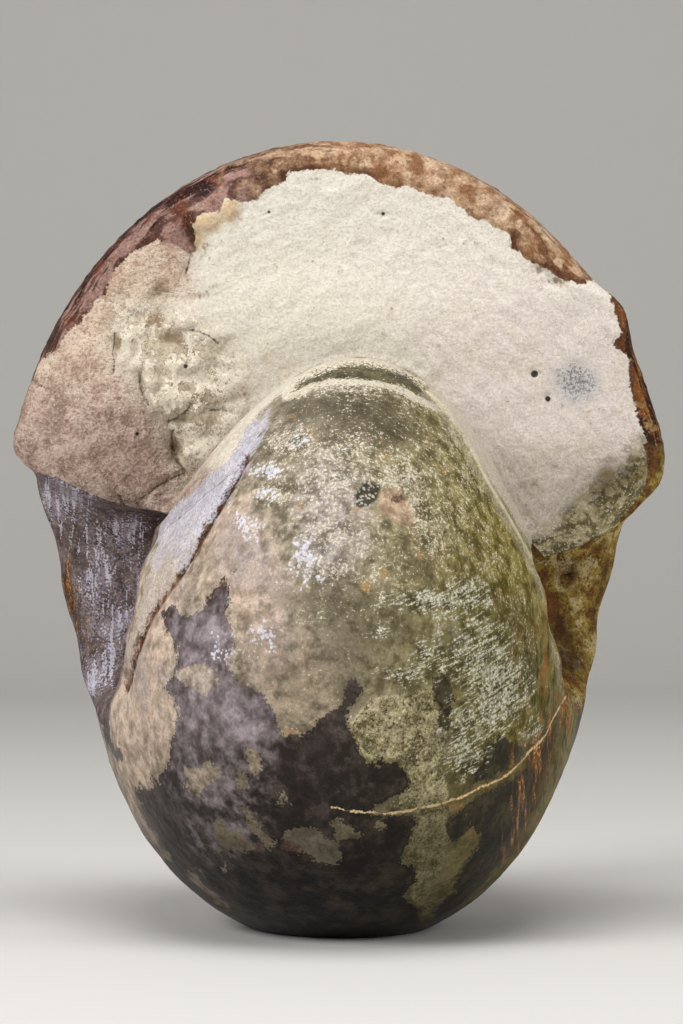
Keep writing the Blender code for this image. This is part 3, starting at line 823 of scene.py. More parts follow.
class Finish:
    """Short calls that add shader nodes to one material and join them. Lengths are in millimetres."""

    def __init__(self, name):
        self.material = bpy.data.materials.new(name)
        self.material.use_nodes = True
        self.nodes = self.material.node_tree.nodes
        self.links = self.material.node_tree.links
        self.shader = self.nodes["Principled BSDF"]
        self.fields = {}
        place = self.nodes.new("ShaderNodeTexCoord").outputs["Object"]
        scale = self.nodes.new("ShaderNodeVectorMath")
        scale.operation = "SCALE"
        scale.inputs["Scale"].default_value = 1 / MM
        self.links.new(place, scale.inputs[0])
        self.place = scale.outputs[0]

    def join(self, value, socket):
        if isinstance(value, bpy.types.NodeSocket):
            self.links.new(value, socket)
        elif isinstance(value, tuple) and len(value) == 3 and socket.type == "RGBA":
            socket.default_value = (*value, 1)
        else:
            socket.default_value = value

    def field(self, name):
        if name not in self.fields:
            node = self.nodes.new("ShaderNodeAttribute")
            node.attribute_name = name
            self.fields[name] = node.outputs["Fac"]
        return self.fields[name]

    def calc(self, operation, a, b=0.0):
        node = self.nodes.new("ShaderNodeMath")
        node.operation = operation
        self.join(a, node.inputs[0])
        self.join(b, node.inputs[1])
        return node.outputs[0]

    def add(self, a, b):
        return self.calc("ADD", a, b)

    def times(self, a, b):
        return self.calc("MULTIPLY", a, b)

    def vector(self, x, y, z=0.0):
        node = self.nodes.new("ShaderNodeCombineXYZ")
        for value, socket in zip((x, y, z), node.inputs):
            self.join(value, socket)
        return node.outputs[0]

    def noise(self, size, detail, roughness=0.55, place=None):
        """Noise whose lumps are about size millimetres across, from 0 to 1."""
        node = self.nodes.new("ShaderNodeTexNoise")
        node.inputs["Scale"].default_value = 1 / size
        node.inputs["Detail"].default_value = detail
        node.inputs["Roughness"].default_value = roughness
        self.links.new(place or self.place, node.inputs["Vector"])
        return node.outputs["Fac"]

    def cells(self, size):
        """Distance to the nearest of points strewn about size millimetres apart."""
        node = self.nodes.new("ShaderNodeTexVoronoi")
        node.inputs["Scale"].default_value = 1 / size
        self.links.new(self.place, node.inputs["Vector"])
        return node.outputs["Distance"]

    def between(self, value, low, high, to_low=0.0, to_high=1.0):
        """Goes evenly from one end to the other as value goes from low to high, and stays within."""
        fixed = not any(isinstance(end, bpy.types.NodeSocket) for end in (low, high, to_low, to_high))
        if fixed and (to_low, to_high) == (0, 1):
            return self.times_and_add(value, 1 / (high - low), -low / (high - low), clamp=True)
        node = self.nodes.new("ShaderNodeMapRange")
        for number, socket in zip((value, low, high, to_low, to_high), node.inputs):
            self.join(number, socket)
        return node.outputs[0]

    def cut(self, field, wobble, amount, width):
        """1 inside a field's outline and 0 outside, the outline shifted by noise."""
        shifted = self.times_and_add(wobble, 2 * amount, field)
        return self.between(shifted, amount - width / 2, amount + width / 2)

    def mix(self, share, a, b, mode="MIX"):
        node = self.nodes.new("ShaderNodeMix")
        node.data_type, node.blend_type = "RGBA", mode
        self.join(share, node.inputs["Factor"])
        self.join(a, node.inputs["A"])
        self.join(b, node.inputs["B"])
        return node.outputs["Result"]

    def level(self, share, a, b):
        """The same for plain numbers."""
        node = self.nodes.new("ShaderNodeMix")
        node.data_type = "FLOAT"
        self.join(share, node.inputs["Factor"])
        self.join(a, node.inputs["A"])
        self.join(b, node.inputs["B"])
        return node.outputs["Result"]

    def times_and_add(self, a, b, c, clamp=False):
        """The product of a and b, plus c, in one node."""
        node = self.nodes.new("ShaderNodeMath")
        node.operation, node.use_clamp = "MULTIPLY_ADD", clamp
        for value, socket in zip((a, b, c), node.inputs):
            self.join(value, socket)
        return node.outputs[0]

    def around(self, value, amount):
        """A noise about 0 instead of 0.5, times the amount."""
        return self.times_and_add(value, amount, -0.5 * amount)

    def line(self, corners, upright=False):
        """Distance in millimetres from a line of the view, which a curve node holds. It grows past the ends."""
        places = np.array(corners, dtype=float)
        sides = (places[:, 0] - AXIS_PIXEL[0]) * PIXEL / MM
        heights = (AXIS_PIXEL[1] - places[:, 1]) * PIXEL / MM
        runs, offs = (heights, sides) if upright else (sides, heights)
        order = np.argsort(runs)
        runs, offs = runs[order], offs[order]
        low, high, least, span = runs[0], runs[-1], offs.min(), max(np.ptp(offs), 1e-3)
        node = self.nodes.new("ShaderNodeFloatCurve")
        points = node.mapping.curves[0].points
        shares = np.stack([(runs - low) / (high - low), (offs - least) / span], axis=-1).tolist()
        points[0].location, points[1].location = shares[0], shares[-1]
        for share in shares[1:-1]:
            points.new(*share)
        for point in points:
            point.handle_type = "VECTOR"
        node.mapping.update()
        run = self.field("height" if upright else "sideways")
        along = self.between(run, low, high)
        self.join(along, node.inputs["Value"])
        off = self.field("sideways" if upright else "height")
        apart = self.add(self.times_and_add(node.outputs[0], -span, off), -least)
        past = self.add(self.times_and_add(along, low - high, run), -low)
        slant = (high - low) / np.hypot(high - low, offs[-1] - offs[0])
        return self.calc("MAXIMUM", self.times(self.calc("ABSOLUTE", apart), slant), self.calc("ABSOLUTE", past))

    def disc(self, x, y, radius):
        """Depth in millimetres inside a round spot of the view."""
        node = self.nodes.new("ShaderNodeVectorMath")
        node.operation = "DISTANCE"
        self.links.new(self.vector(self.field("sideways"), self.field("height")), node.inputs[0])
        node.inputs[1].default_value = ((x - AXIS_PIXEL[0]) * PIXEL / MM, (AXIS_PIXEL[1] - y) * PIXEL / MM, 0)
        return self.add(self.times(node.outputs["Value"], -1), radius * PIXEL / MM)

    def grains(self, n, density, low=0.10, high=0.62):
        """Round grains, small and rare at density 0, and larger until they run together at 1."""
        size = self.between(density, 0, 1, low, high)
        depth = self.add(self.add(size, self.times(n.grain, -1)), self.around(n.fine, 0.5))
        return self.between(depth, -0.04, 0.06)

    def scribed(self, n):
        """Short marks of a scribing tool, which rise to the right, and the more steeply the further right."""
        side = self.field("sideways")
        bow = self.times(side, self.add(self.times(side, 0.0105), 0.05))
        sway = self.around(n.edge, 1.3)
        level = self.times_and_add(bow, -1, self.add(self.field("height"), sway))
        place = self.vector(self.times(side, 0.2), level)
        hatch = self.noise(0.6, 2, 0.75, place)
        density = self.add(self.field("strokes"), self.around(n.middle, 1.8))
        marks = self.add(hatch, self.add(self.around(n.spray, 0.6), self.times(density, 0.20)))
        near = self.times(self.between(density, 0.10, 0.40), self.between(self.field("strokes"), 0.05, 0.25))
        return self.times(self.between(marks, 0.615, 0.71), near)

    def gritty(self, n, colour, amount):
        """The colour times one plus or minus the amount, twice: once with fine and once with coarser noise."""
        fine = self.between(n.spray, 0.34, 0.66, 1 - 1.3 * amount, 1 + 1.3 * amount)
        coarser = self.between(n.middle, 0.40, 0.60, 1 - 0.5 * amount, 1 + 0.5 * amount)
        return self.mix(1.0, colour, self.times(fine, coarser), "MULTIPLY")

    def done(self, colour, roughness, height=None):
        """height is in millimetres, and goes to the bump."""
        self.join(colour, self.shader.inputs["Base Color"])
        self.join(roughness, self.shader.inputs["Roughness"])
        if height is not None:
            bump = self.nodes.new("ShaderNodeBump")
            bump.inputs["Strength"].default_value = 1.0
            bump.inputs["Distance"].default_value = MM
            self.links.new(height, bump.inputs["Height"])
            self.links.new(bump.outputs["Normal"], self.shader.inputs["Normal"])
        return self.material


def bare_stone_layers(look, f, n):
    """The bare stone of the broken face: cream, pink at the left lobe, brown grime and painted shade in its
    hollows, painted light at its top and painted shade at its lower right.
    """
    right = f.between(f.add(f.field("sideways"), f.around(n.big, 40)), -4, 26)
    colour = f.mix(right, tuple(look.bare_stone), srgb(209, 198, 190))
    colour = f.mix(f.between(n.edge, 0.52, 0.62, 0, 0.5), colour, srgb(200, 188, 168))
    # Painted light: the bare stone paler towards its top
    high = f.add(f.field("height"), f.around(n.edge, 20))
    colour = f.mix(f.between(high, 50, 74, 0, 0.85), colour, srgb(234, 228, 216))
    hem = f.times(f.field("front"), f.between(f.field("sideways"), -14, 0, 0.1, 0.7))
    colour = f.mix(hem, colour, srgb(184, 174, 154))
    # Painted shade: the bare stone greyer at its lower right, where it faces down
    low = f.between(f.add(f.field("height"), f.around(n.edge, 14)), 34, 14)
    low = f.times(low, f.between(f.field("sideways"), 10, 30, 0, 0.6))
    colour = f.mix(low, colour, srgb(166, 155, 134))
    corner = f.add(f.times(f.field("sideways"), 0.67), f.times(f.field("height"), -0.74))
    corner = f.between(f.add(corner, f.around(n.edge, 12)), 13.6, 18.0)
    crust = f.mix(f.between(n.middle, 0.42, 0.58), srgb(76, 70, 40), srgb(140, 132, 98))
    colour = f.mix(corner, colour, crust)

    pink = f.mix(f.between(n.middle, 0.40, 0.60), srgb(150, 125, 112), tuple(look.pink_stone))
    pink = f.mix(f.between(n.edge, 0.48, 0.40, 0, 0.6), pink, srgb(140, 118, 104))
    pink = f.mix(f.between(n.edge, 0.52, 0.60, 0, 0.6), pink, srgb(196, 176, 162))
    high = f.mix(f.between(n.edge, 0.44, 0.56), srgb(188, 158, 136), srgb(214, 192, 172))
    pink = f.mix(f.between(f.add(f.field("height"), f.around(n.edge, 24)), 36, 50), pink, high)
    pinkish = f.cut(f.field("pink"), n.edge, 6.0, 5.0)
    colour = f.mix(pinkish, colour, pink)
    chipped = f.cut(f.field("chipped"), n.edge, 5.0, 7.0)
    flakes = f.mix(f.between(n.edge, 0.44, 0.56), srgb(186, 172, 148), srgb(218, 208, 188))
    colour = f.mix(f.times(chipped, 0.85), colour, flakes)
    colour = f.mix(f.times(f.cut(f.field("cream"), n.edge, 2.4, 1.6), 0.85), colour, srgb(210, 182, 140))

    coarse = f.calc("MAXIMUM", f.calc("MAXIMUM", corner, pinkish), f.calc("MAXIMUM", low, chipped))
    # Painted shade in the low spots of the fine bump and painted light on its high spots, which also read as dark
    # and pale grains
    hollow_shade_and_grain = f.times(f.between(n.spray, 0.48, 0.34), f.level(coarse, 0.30, 0.50))
    colour = f.mix(hollow_shade_and_grain, colour, f.mix(coarse, srgb(176, 156, 128), srgb(112, 92, 74)))
    crest_light_and_grain = f.times(f.between(n.spray, 0.54, 0.66), f.level(coarse, 0.30, 0.50))
    colour = f.mix(crest_light_and_grain, colour, f.mix(coarse, srgb(244, 240, 232), srgb(212, 196, 180)))

    cracked = f.between(f.calc("ABSOLUTE", f.add(n.edge, -0.475)), 0.016, 0.004)
    cracked = f.times(cracked, f.times(chipped, f.between(n.middle, 0.44, 0.56)))
    colour = f.mix(f.times(cracked, 0.75), colour, srgb(112, 94, 64))
    wisps = f.between(f.calc("ABSOLUTE", f.add(n.edge, -0.505)), 0.018, 0.004)
    colour = f.mix(f.times(f.times(wisps, chipped), 0.6), colour, srgb(244, 238, 226))
    blue = f.cut(f.field("blue"), n.edge, 2.2, 2.6)
    colour = f.mix(f.times(blue, 0.6), colour, srgb(184, 184, 186))
    dots = f.between(f.add(n.spray, f.between(f.field("blue"), -2, 3, 0, 0.14)), 0.58, 0.66)
    colour = f.mix(f.times(f.times(dots, blue), 0.85), colour, srgb(104, 106, 108))
    # Brown grime, and painted shade in creases and hollows
    dirt_and_shade = f.add(f.field("dirt_and_shade"), f.add(f.around(n.middle, 2.0), f.around(n.spray, 1.6)))
    colour = f.mix(f.between(dirt_and_shade, 0.35, 0.75, 0, 0.75), colour, srgb(120, 96, 64))
    ragged = f.add(f.around(n.spray, 0.9), f.around(n.middle, 1.2))
    nearest = 9.0
    for corners, upright, width in FACE_CRACKS:
        nearest = f.calc("MINIMUM", nearest, f.times(f.add(f.line(corners, upright), ragged), 1 / width))
    crack = f.times(f.between(nearest, 1.0, 0.3, 0, 0.85), f.between(n.middle, 0.40, 0.52, 0.35, 1.0))
    return f.mix(crack, colour, srgb(66, 52, 36))


def rim_layers(look, f, n, whorl, hem):
    """Old shell round the broken end: dark at the left, pink brown on top, orange brown at the right."""
    across = f.add(f.field("across"), f.around(n.edge, 0.9))
    left = f.mix(f.between(n.streak, 0.52, 0.57), tuple(look.rim_dark), srgb(150, 118, 108))
    left = f.mix(f.between(n.streak, 0.495, 0.45), left, srgb(42, 20, 17))
    left = f.mix(f.between(n.edge, 0.53, 0.58, 0, 0.55), left, srgb(112, 56, 32))
    left = f.mix(f.between(f.field("height"), 34, 56, 0.3, 0), left, srgb(146, 122, 114))
    top = f.mix(f.between(n.middle, 0.40, 0.60), srgb(142, 104, 72), srgb(182, 150, 120))
    top = f.mix(f.between(n.edge, 0.52, 0.60, 0, 0.45), top, srgb(206, 184, 158))
    top = f.mix(f.between(n.streak, 0.45, 0.39, 0, 0.85), top, srgb(96, 58, 34))
    top = f.mix(f.between(n.edge, 0.46, 0.40, 0, 0.6), top, srgb(130, 86, 50))
    right = f.mix(f.between(n.streak, 0.44, 0.54), tuple(look.rim_orange), srgb(50, 28, 14))
    right = f.mix(f.between(n.edge, 0.55, 0.60, 0, 0.6), right, srgb(176, 138, 88))
    rim = f.mix(f.between(across, -0.42, -0.12), left, top)
    rim = f.mix(f.between(across, 0.92, 1.12), rim, right)
    rim = f.mix(f.between(n.spray, 0.58, 0.70, 0, 0.25), rim, srgb(206, 184, 164))
    rim = f.mix(f.between(n.spray, 0.43, 0.32, 0, 0.35), rim, srgb(60, 42, 34))
    near_end = f.add(f.field("along"), f.around(n.edge, 0.5))
    colour = f.mix(f.between(near_end, -0.95, -0.35), whorl, rim)
    lip = f.calc("ABSOLUTE", f.add(hem, 0.4))
    lip = f.times(f.between(lip, 1.1, 0.1), f.between(n.streak, 0.54, 0.44, 0, 0.85))
    lip = f.times(lip, f.between(f.field("front"), 0.5, 0.0))
    return f.mix(lip, colour, srgb(82, 50, 34))


def whorl_layers(look, f, n):
    """The whorls: worn stone in four hues, fine pale crust, dark skin, scribe marks, rust and a vein, with painted
    shade low down and under the face's edge, and painted sheen on the dark skin.
    """
    side = f.between(f.field("sideways"), -2, 30)
    mottle = f.between(n.middle, 0.38, 0.62)
    # low grows towards the bottom of the whorls and brings painted shade there: darker stone and crumbs, near-black
    # skin and fewer pale specks
    low = f.between(f.add(f.field("height"), f.around(n.edge, 24)), -22, -48)

    def share(name, least=0.15, most=0.85):
        field = f.field(name)
        ragged = f.times(f.around(n.middle, 1.4), f.between(field, 0, 0.2))
        return f.between(f.add(field, ragged), least, most)

    colour = f.mix(side, srgb(108, 98, 80), tuple(look.olive_stone))
    colour = f.mix(mottle, colour, f.mix(side, srgb(156, 145, 122), srgb(140, 128, 62)))
    paler = f.mix(side, srgb(166, 154, 132), srgb(160, 148, 86))
    colour = f.mix(f.between(n.edge, 0.50, 0.60, 0, 0.6), colour, paler)
    tan = f.mix(mottle, srgb(176, 155, 137), tuple(look.tan_stone))
    tan = f.mix(f.between(n.big, 0.44, 0.60, 0, 0.7), tan, srgb(160, 146, 140))
    tan = f.mix(f.between(n.edge, 0.54, 0.60, 0, 0.5), tan, srgb(206, 180, 156))
    tan = f.mix(f.between(n.edge, 0.45, 0.39, 0, 0.35), tan, srgb(140, 120, 104))
    browner = f.times(f.between(f.field("sideways"), -20, -FAR), f.between(f.field("height"), -3, -14))
    browner = f.calc("MAXIMUM", browner, f.between(f.field("sideways"), -12, 2))
    tan = f.mix(f.times(browner, 0.85), tan, f.mix(mottle, srgb(112, 94, 74), srgb(146, 127, 104)))
    colour = f.mix(share("warm"), colour, tan)
    # Pale lilac grey, partly a painted sheen on the dark skin's upper left
    colour = f.mix(f.times(share("haze_and_sheen"), 0.75), colour, f.mix(mottle, srgb(136, 126, 122), srgb(172, 162, 160)))
    colour = f.mix(f.times(share("shade"), 0.85), colour, f.mix(mottle, srgb(58, 50, 38), srgb(86, 78, 60)))
    ochre = f.cut(f.field("ochre"), n.middle, 0.9, 0.6)
    colour = f.mix(f.times(ochre, 0.7), colour, srgb(164, 130, 78))
    # Painted shade on the lower whorls
    colour = f.mix(f.times(low, 0.6), colour, srgb(46, 40, 30))

    crumbled = f.cut(f.field("crumbled"), n.edge, 2.6, 0.5)
    crumbs = f.mix(mottle, srgb(122, 112, 76), srgb(184, 174, 134))
    crumbs = f.mix(f.between(n.edge, 0.53, 0.60, 0, 0.7), crumbs, srgb(182, 168, 134))
    crumbs = f.mix(f.between(n.edge, 0.47, 0.41, 0, 0.8), crumbs, srgb(92, 84, 54))
    # Painted shade in the crust's small pits and painted light on its tops, which also read as dark and pale crumbs
    crumbs = f.mix(f.between(n.spray, 0.45, 0.35, 0, 0.8), crumbs, srgb(58, 51, 28))
    crumbs = f.mix(f.between(n.spray, 0.56, 0.66, 0, 0.7), crumbs, srgb(204, 195, 164))
    # Painted shade: the crumbs darker towards the bottom
    crumbs = f.mix(f.between(f.field("height"), -34, -44, 0, 0.7), crumbs, srgb(68, 63, 36))
    colour = f.mix(crumbled, colour, crumbs)

    # Fewer pale specks in the painted shade low down
    pale = f.add(f.add(f.field("pale"), f.around(n.middle, 1.4)), f.times(low, -0.6))
    specks = f.between(f.add(n.spray, f.times(pale, 0.26)), 0.66, 0.74)
    hues = f.mix(f.between(n.fine, 0.40, 0.60), srgb(168, 158, 138), tuple(look.pale_specks))
    colour = f.mix(f.times(specks, 0.88), colour, hues)

    ragged = f.add(f.field("dark"), f.add(f.around(n.edge, 7.0), f.around(n.fine, 1.2)))
    dark = f.between(ragged, -0.15, 0.20)
    skin = f.mix(side, tuple(look.dark_skin), srgb(34, 29, 12))
    skin = f.mix(f.times(mottle, 0.6), skin, f.mix(side, srgb(74, 64, 60), srgb(62, 56, 28)))
    skin = f.mix(f.between(n.edge, 0.53, 0.62, 0, 0.6), skin, f.mix(side, srgb(94, 82, 78), srgb(84, 77, 44)))
    # Painted shade: the skin near black towards the bottom
    painted_shade_skin = f.mix(side, srgb(14, 11, 9), srgb(16, 12, 4))
    painted_shade_skin = f.mix(f.between(n.edge, 0.46, 0.58), painted_shade_skin, f.mix(side, srgb(44, 37, 32), srgb(46, 40, 18)))
    skin = f.mix(f.times(low, 0.9), skin, painted_shade_skin)
    # Painted sheen on the dark skin; away from the front view it gives paler patches at random
    sheen_and_mottle = f.mix(f.between(n.edge, 0.42, 0.58), srgb(118, 105, 107), srgb(156, 144, 149))
    skin = f.mix(f.times(share("sheen_and_mottle", 0.10, 0.95), 0.92), skin, f.mix(side, sheen_and_mottle, srgb(104, 98, 70)))
    colour = f.mix(f.times(dark, f.between(n.middle, 0.30, 0.42, 0.9, 1.0)), colour, skin)

    # Painted shadow under the broken face's edge: a dark olive strip with pale specks
    shadowed_ledge = f.cut(f.field("shadowed_ledge"), n.fine, 0.9, 0.4)
    strip = f.mix(mottle, srgb(64, 58, 38), srgb(96, 88, 62))
    strip = f.mix(f.between(n.spray, 0.60, 0.70, 0, 0.5), strip, srgb(150, 138, 112))
    colour = f.mix(shadowed_ledge, colour, strip)
    lip = f.between(f.calc("ABSOLUTE", f.add(f.field("shadowed_ledge"), 0.6)), 1.4, 0.2)
    lip = f.between(f.add(n.spray, f.times(lip, 0.34)), 0.64, 0.72)
    colour = f.mix(f.times(lip, f.between(f.field("shadowed_ledge"), -2.4, -1.0, 0, 0.95)), colour, srgb(206, 196, 176))

    chalk = f.add(f.field("chalk"), f.around(n.middle, 1.6))
    chalk = f.times(f.grains(n, chalk, 0.12, 0.72), f.between(chalk, 0.15, 0.35))
    chalk = f.times(chalk, f.between(f.field("chalk"), 0, 0.12))
    colour = f.mix(f.times(chalk, 0.85), colour, tuple(look.chalk))

    band = f.cut(f.field("band"), n.middle, 2.2, 1.0)
    cream = f.mix(mottle, srgb(204, 190, 178), srgb(168, 154, 142))
    bluish = f.mix(mottle, srgb(208, 202, 208), srgb(172, 168, 178))
    high = f.add(f.field("height"), f.around(n.edge, 26))
    strip = f.mix(f.between(high, 4, 14), cream, bluish)
    strip = f.mix(f.between(n.fine, 0.46, 0.34, 0, 0.4), strip, srgb(126, 112, 104))
    colour = f.mix(band, colour, strip)
    groove = f.add(f.line(GROOVE, True), f.add(f.around(n.middle, 1.6), f.around(n.fine, 0.8)))
    depth = f.mix(f.between(n.edge, 0.44, 0.56), srgb(104, 60, 34), srgb(52, 40, 32))
    groove = f.times(f.between(groove, 0.75, 0.15), f.between(n.edge, 0.36, 0.46, 0.5, 1.0))
    colour = f.mix(groove, colour, depth)

    scar = f.cut(f.field("scar"), n.edge, 1.6, 1.2)
    pinkish = f.mix(mottle, srgb(158, 130, 104), srgb(198, 172, 144))
    colour = f.mix(f.times(scar, 0.75), colour, pinkish)
    black = f.cut(f.field("black_scar"), n.middle, 1.6, 0.6)
    colour = f.mix(f.times(black, 0.9), colour, f.mix(f.grains(n, 0.55), srgb(38, 36, 30), srgb(160, 154, 136)))
    spot = f.cut(f.field("spot"), n.fine, 0.6, 0.5)
    colour = f.mix(f.times(spot, 0.8), colour, srgb(74, 52, 46))

    marks = f.scribed(n)
    under = f.mix(mottle, srgb(48, 44, 22), srgb(98, 92, 60))
    colour = f.mix(f.times(f.field("strokes"), 0.7), colour, under)
    shine = f.mix(f.between(n.fine, 0.40, 0.58), srgb(150, 148, 124), tuple(look.scribe_marks))
    colour = f.mix(f.times(marks, 0.9), colour, shine)
    flank = f.times(f.between(f.field("sideways"), 31, 39), f.field("front"))
    trails = f.times(f.times(f.between(n.upright, 0.54, 0.60), flank), f.between(f.field("height"), 6, -12))
    colour = f.mix(f.times(trails, 0.7), colour, srgb(140, 88, 34))
    gloom = f.times(f.between(n.upright, 0.47, 0.41), flank)
    colour = f.mix(f.times(gloom, 0.6), colour, srgb(44, 36, 10))

    near = f.times(f.between(f.field("ridge"), -3.2, -0.4), f.between(f.field("ridge"), 1.2, 0.4))
    colour = f.mix(f.times(near, f.between(n.fine, 0.42, 0.56, 0.3, 0.8)), colour, srgb(168, 158, 132))
    inner = f.between(f.calc("ABSOLUTE", f.add(f.field("ridge"), 1.7)), 0.35, 0.1)
    outer = f.between(f.calc("ABSOLUTE", f.add(f.field("ridge"), 0.3)), 0.4, 0.1)
    edges = f.times(f.calc("MAXIMUM", f.times(inner, 0.6), outer), f.between(n.edge, 0.40, 0.52, 0.3, 0.9))
    colour = f.mix(edges, colour, srgb(214, 202, 176))
    shadow = f.between(f.calc("ABSOLUTE", f.add(f.field("ridge"), 1.0)), 0.35, 0.1)
    colour = f.mix(f.times(shadow, 0.4), colour, srgb(84, 78, 54))
    return colour, dark, crumbled, marks, specks


def vein_layer(look, f, n, colour):
    """A thin line of calcite across the lower right, which is wider at its right half."""
    off = f.add(f.line(VEIN), f.add(f.around(n.middle, 0.8), f.around(n.fine, 0.5)))
    wide = f.between(f.field("sideways"), 4, 26, 0.0, 0.15)
    hue = f.mix(f.between(off, 0.0, 0.25), tuple(look.vein), srgb(158, 118, 70))
    return f.mix(f.times(f.between(f.add(off, f.times(wide, -1.0)), 0.16, 0.02), f.field("front")), colour, hue)


def hollow_layers(look, f, n):
    """The two hollows beside the coil: grey and chalky at the left, olive and stained at the right, with painted
    shade in both.
    """
    mottle = f.between(n.middle, 0.38, 0.64)
    left = f.mix(mottle, srgb(78, 66, 63), srgb(114, 99, 96))
    # Painted shade and brown stains in the hollows
    shade_and_stain = f.add(f.field("hollow_shade_and_stain"), f.around(n.middle, 1.0))
    left = f.mix(f.between(shade_and_stain, 0.2, 0.8, 0, 0.85), left, srgb(66, 44, 42))
    crust = f.add(f.field("hollow_chalk"), f.add(f.around(n.edge, 2.4), f.around(n.fine, 1.6)))
    left = f.mix(f.between(crust, 0.35, 0.75, 0, 0.6), left, srgb(158, 148, 158))
    strokes = f.add(f.field("hollow_chalk"), f.add(f.around(n.upright, 4.4), f.around(n.fine, 1.8)))
    left = f.mix(f.between(strokes, 0.85, 1.1, 0, 0.85), left, srgb(192, 188, 202))
    left = f.mix(f.between(n.grain, 0.22, 0.12, 0, 0.6), left, srgb(170, 128, 84))
    right = f.mix(mottle, srgb(98, 74, 24), srgb(152, 128, 62))
    right = f.mix(f.between(n.edge, 0.52, 0.58, 0, 0.8), right, srgb(188, 168, 118))
    right = f.mix(f.between(n.edge, 0.46, 0.41, 0, 0.85), right, srgb(100, 58, 30))
    right = f.mix(f.between(shade_and_stain, 0.25, 0.8, 0, 0.85), right, srgb(64, 36, 22))
    right = f.mix(f.between(n.spray, 0.44, 0.34, 0, 0.7), right, srgb(58, 42, 24))
    crust = f.add(f.field("hollow_chalk"), f.around(n.fine, 1.5))
    right = f.mix(f.between(crust, 0.4, 0.9, 0, 0.7), right, srgb(190, 178, 146))
    return f.mix(f.between(f.field("across"), -0.1, 0.1), left, right)


class Noises:
    """The noises that all layers share, by the size of their lumps."""

    def __init__(self, f):
        self.big = f.noise(15, 2)
        self.edge = f.noise(5.5, 4, 0.72)
        self.middle = f.noise(2.6, 2, 0.65)
        self.fine = f.noise(0.42, 0)
        self.spray = f.noise(0.6, 2, 0.9)
        self.grain = f.cells(0.75)
        place = f.vector(f.times(f.field("across"), 9), f.times(f.field("along"), 90), f.times(self.big, 1.6))
        self.streak = f.noise(1.6, 2, 0.65, place)
        place = f.vector(f.field("sideways"), f.times(f.field("height"), 0.11))
        self.upright = f.noise(0.9, 2, 0.65, place)


def fossil_material(look):
    """One finish for the whole skin: its layers, joined by the skin's fields."""
    f = Finish("worn_fossil_stone")
    n = Noises(f)
    front = f.field("front")
    hem = f.add(f.field("bare"), f.times(f.around(n.edge, 1.0), f.level(front, 4.4, 1.2)))
    hem = f.add(hem, f.around(n.fine, 0.5))
    whorl, dark, crumbled, marks, specks = whorl_layers(look, f, n)
    colour = rim_layers(look, f, n, whorl, hem)
    colour = f.mix(f.field("wall"), colour, hollow_layers(look, f, n))
    rust = f.between(f.add(f.field("rust"), f.around(n.upright, 12)), -0.8, 2.0)
    streaks = f.mix(f.between(n.upright, 0.46, 0.58), srgb(34, 24, 8), tuple(look.rust))
    lit = f.times(f.between(n.upright, 0.54, 0.60), f.between(n.spray, 0.50, 0.6))
    streaks = f.mix(lit, streaks, srgb(186, 140, 78))
    colour = f.mix(f.times(rust, 0.95), colour, streaks)
    colour = vein_layer(look, f, n, colour)
    colour = f.gritty(n, colour, 0.16)
    bare = f.between(hem, -0.12, 0.18)
    colour = f.mix(bare, colour, f.gritty(n, bare_stone_layers(look, f, n), 0.04))
    # Dark pits, and a painted shadow at the bottom of the left umbilicus
    hole_and_shadow = f.cut(f.field("hole_and_shadow"), n.fine, 0.6, 0.35)
    for pit in FACE_PITS:
        hole_and_shadow = f.calc("MAXIMUM", hole_and_shadow, f.times(f.between(f.disc(*pit), -0.08, 0.08), f.field("face")))
    colour = f.mix(f.times(hole_and_shadow, 0.9), colour, srgb(40, 31, 22))

    dull = f.calc("MAXIMUM", f.calc("MAXIMUM", marks, specks), crumbled)
    rough = f.level(dark, 0.55, 0.40)
    rough = f.level(dull, rough, 0.75)
    rough = f.level(bare, f.level(f.field("wall"), rough, 0.65), 0.92)
    f.shader.inputs["Specular IOR Level"].default_value = 0.12

    coarse = f.calc("MAXIMUM", f.between(f.field("crumbled"), -0.5, 0.5), f.between(f.field("pink"), -3, 2))
    elsewhere = f.calc("MAXIMUM", f.times(f.field("face"), 0.25), f.times(f.field("wall"), 0.4))
    coarse = f.calc("MAXIMUM", coarse, elsewhere)
    height = f.times(n.spray, f.add(f.times(coarse, 0.52), 0.06))
    height = f.add(height, f.times(n.middle, f.add(f.times(coarse, 0.98), 0.12)))
    return f.done(colour, rough, height)


def size_property(name, description, size):
    return bpy.props.FloatProperty(
        name=name, description=description, default=size, subtype="DISTANCE", unit="LENGTH"
    )


class FossilSizes(bpy.types.PropertyGroup):
    """Sizes of the shell at its broken end."""

    venter_radius: size_property("Outer radius", "From the coil axis to the crown", 89.7 * MM)
    half_width: size_property("Half-width", "From the middle to the umbilical edge", 63.1 * MM)
    shoulder_radius_left: size_property("Left hollow", "Radius of the left umbilical edge", 30.4 * MM)
    shoulder_radius_right: size_property("Right hollow", "Radius of the right umbilical edge", 28.0 * MM)
    whorl_expansion: bpy.props.FloatProperty(
        name="Growth per turn", description="How many times larger each turn is", default=1.94, min=1.2, max=4.0
    )
    rim_inset_left: size_property("Rim wear, left", "How far the rim is worn in", 8.5 * MM)
    rim_inset_middle: size_property("Rim wear, middle", "How far the rim is worn in", 7.0 * MM)
    rim_inset_right: size_property("Rim wear, right", "How far the rim is worn in", 6.8 * MM)
    axis_height: size_property("Axis height", "Coil axis above the foot", 62.8 * MM)
    axis_forward: size_property("Axis forward", "Coil axis in front of the foot's middle", 6.7 * MM)


def colour_property(name, description, red, green, blue):
    return bpy.props.FloatVectorProperty(
        name=name, description=description, default=srgb(red, green, blue), subtype="COLOR", size=3, min=0, max=1
    )


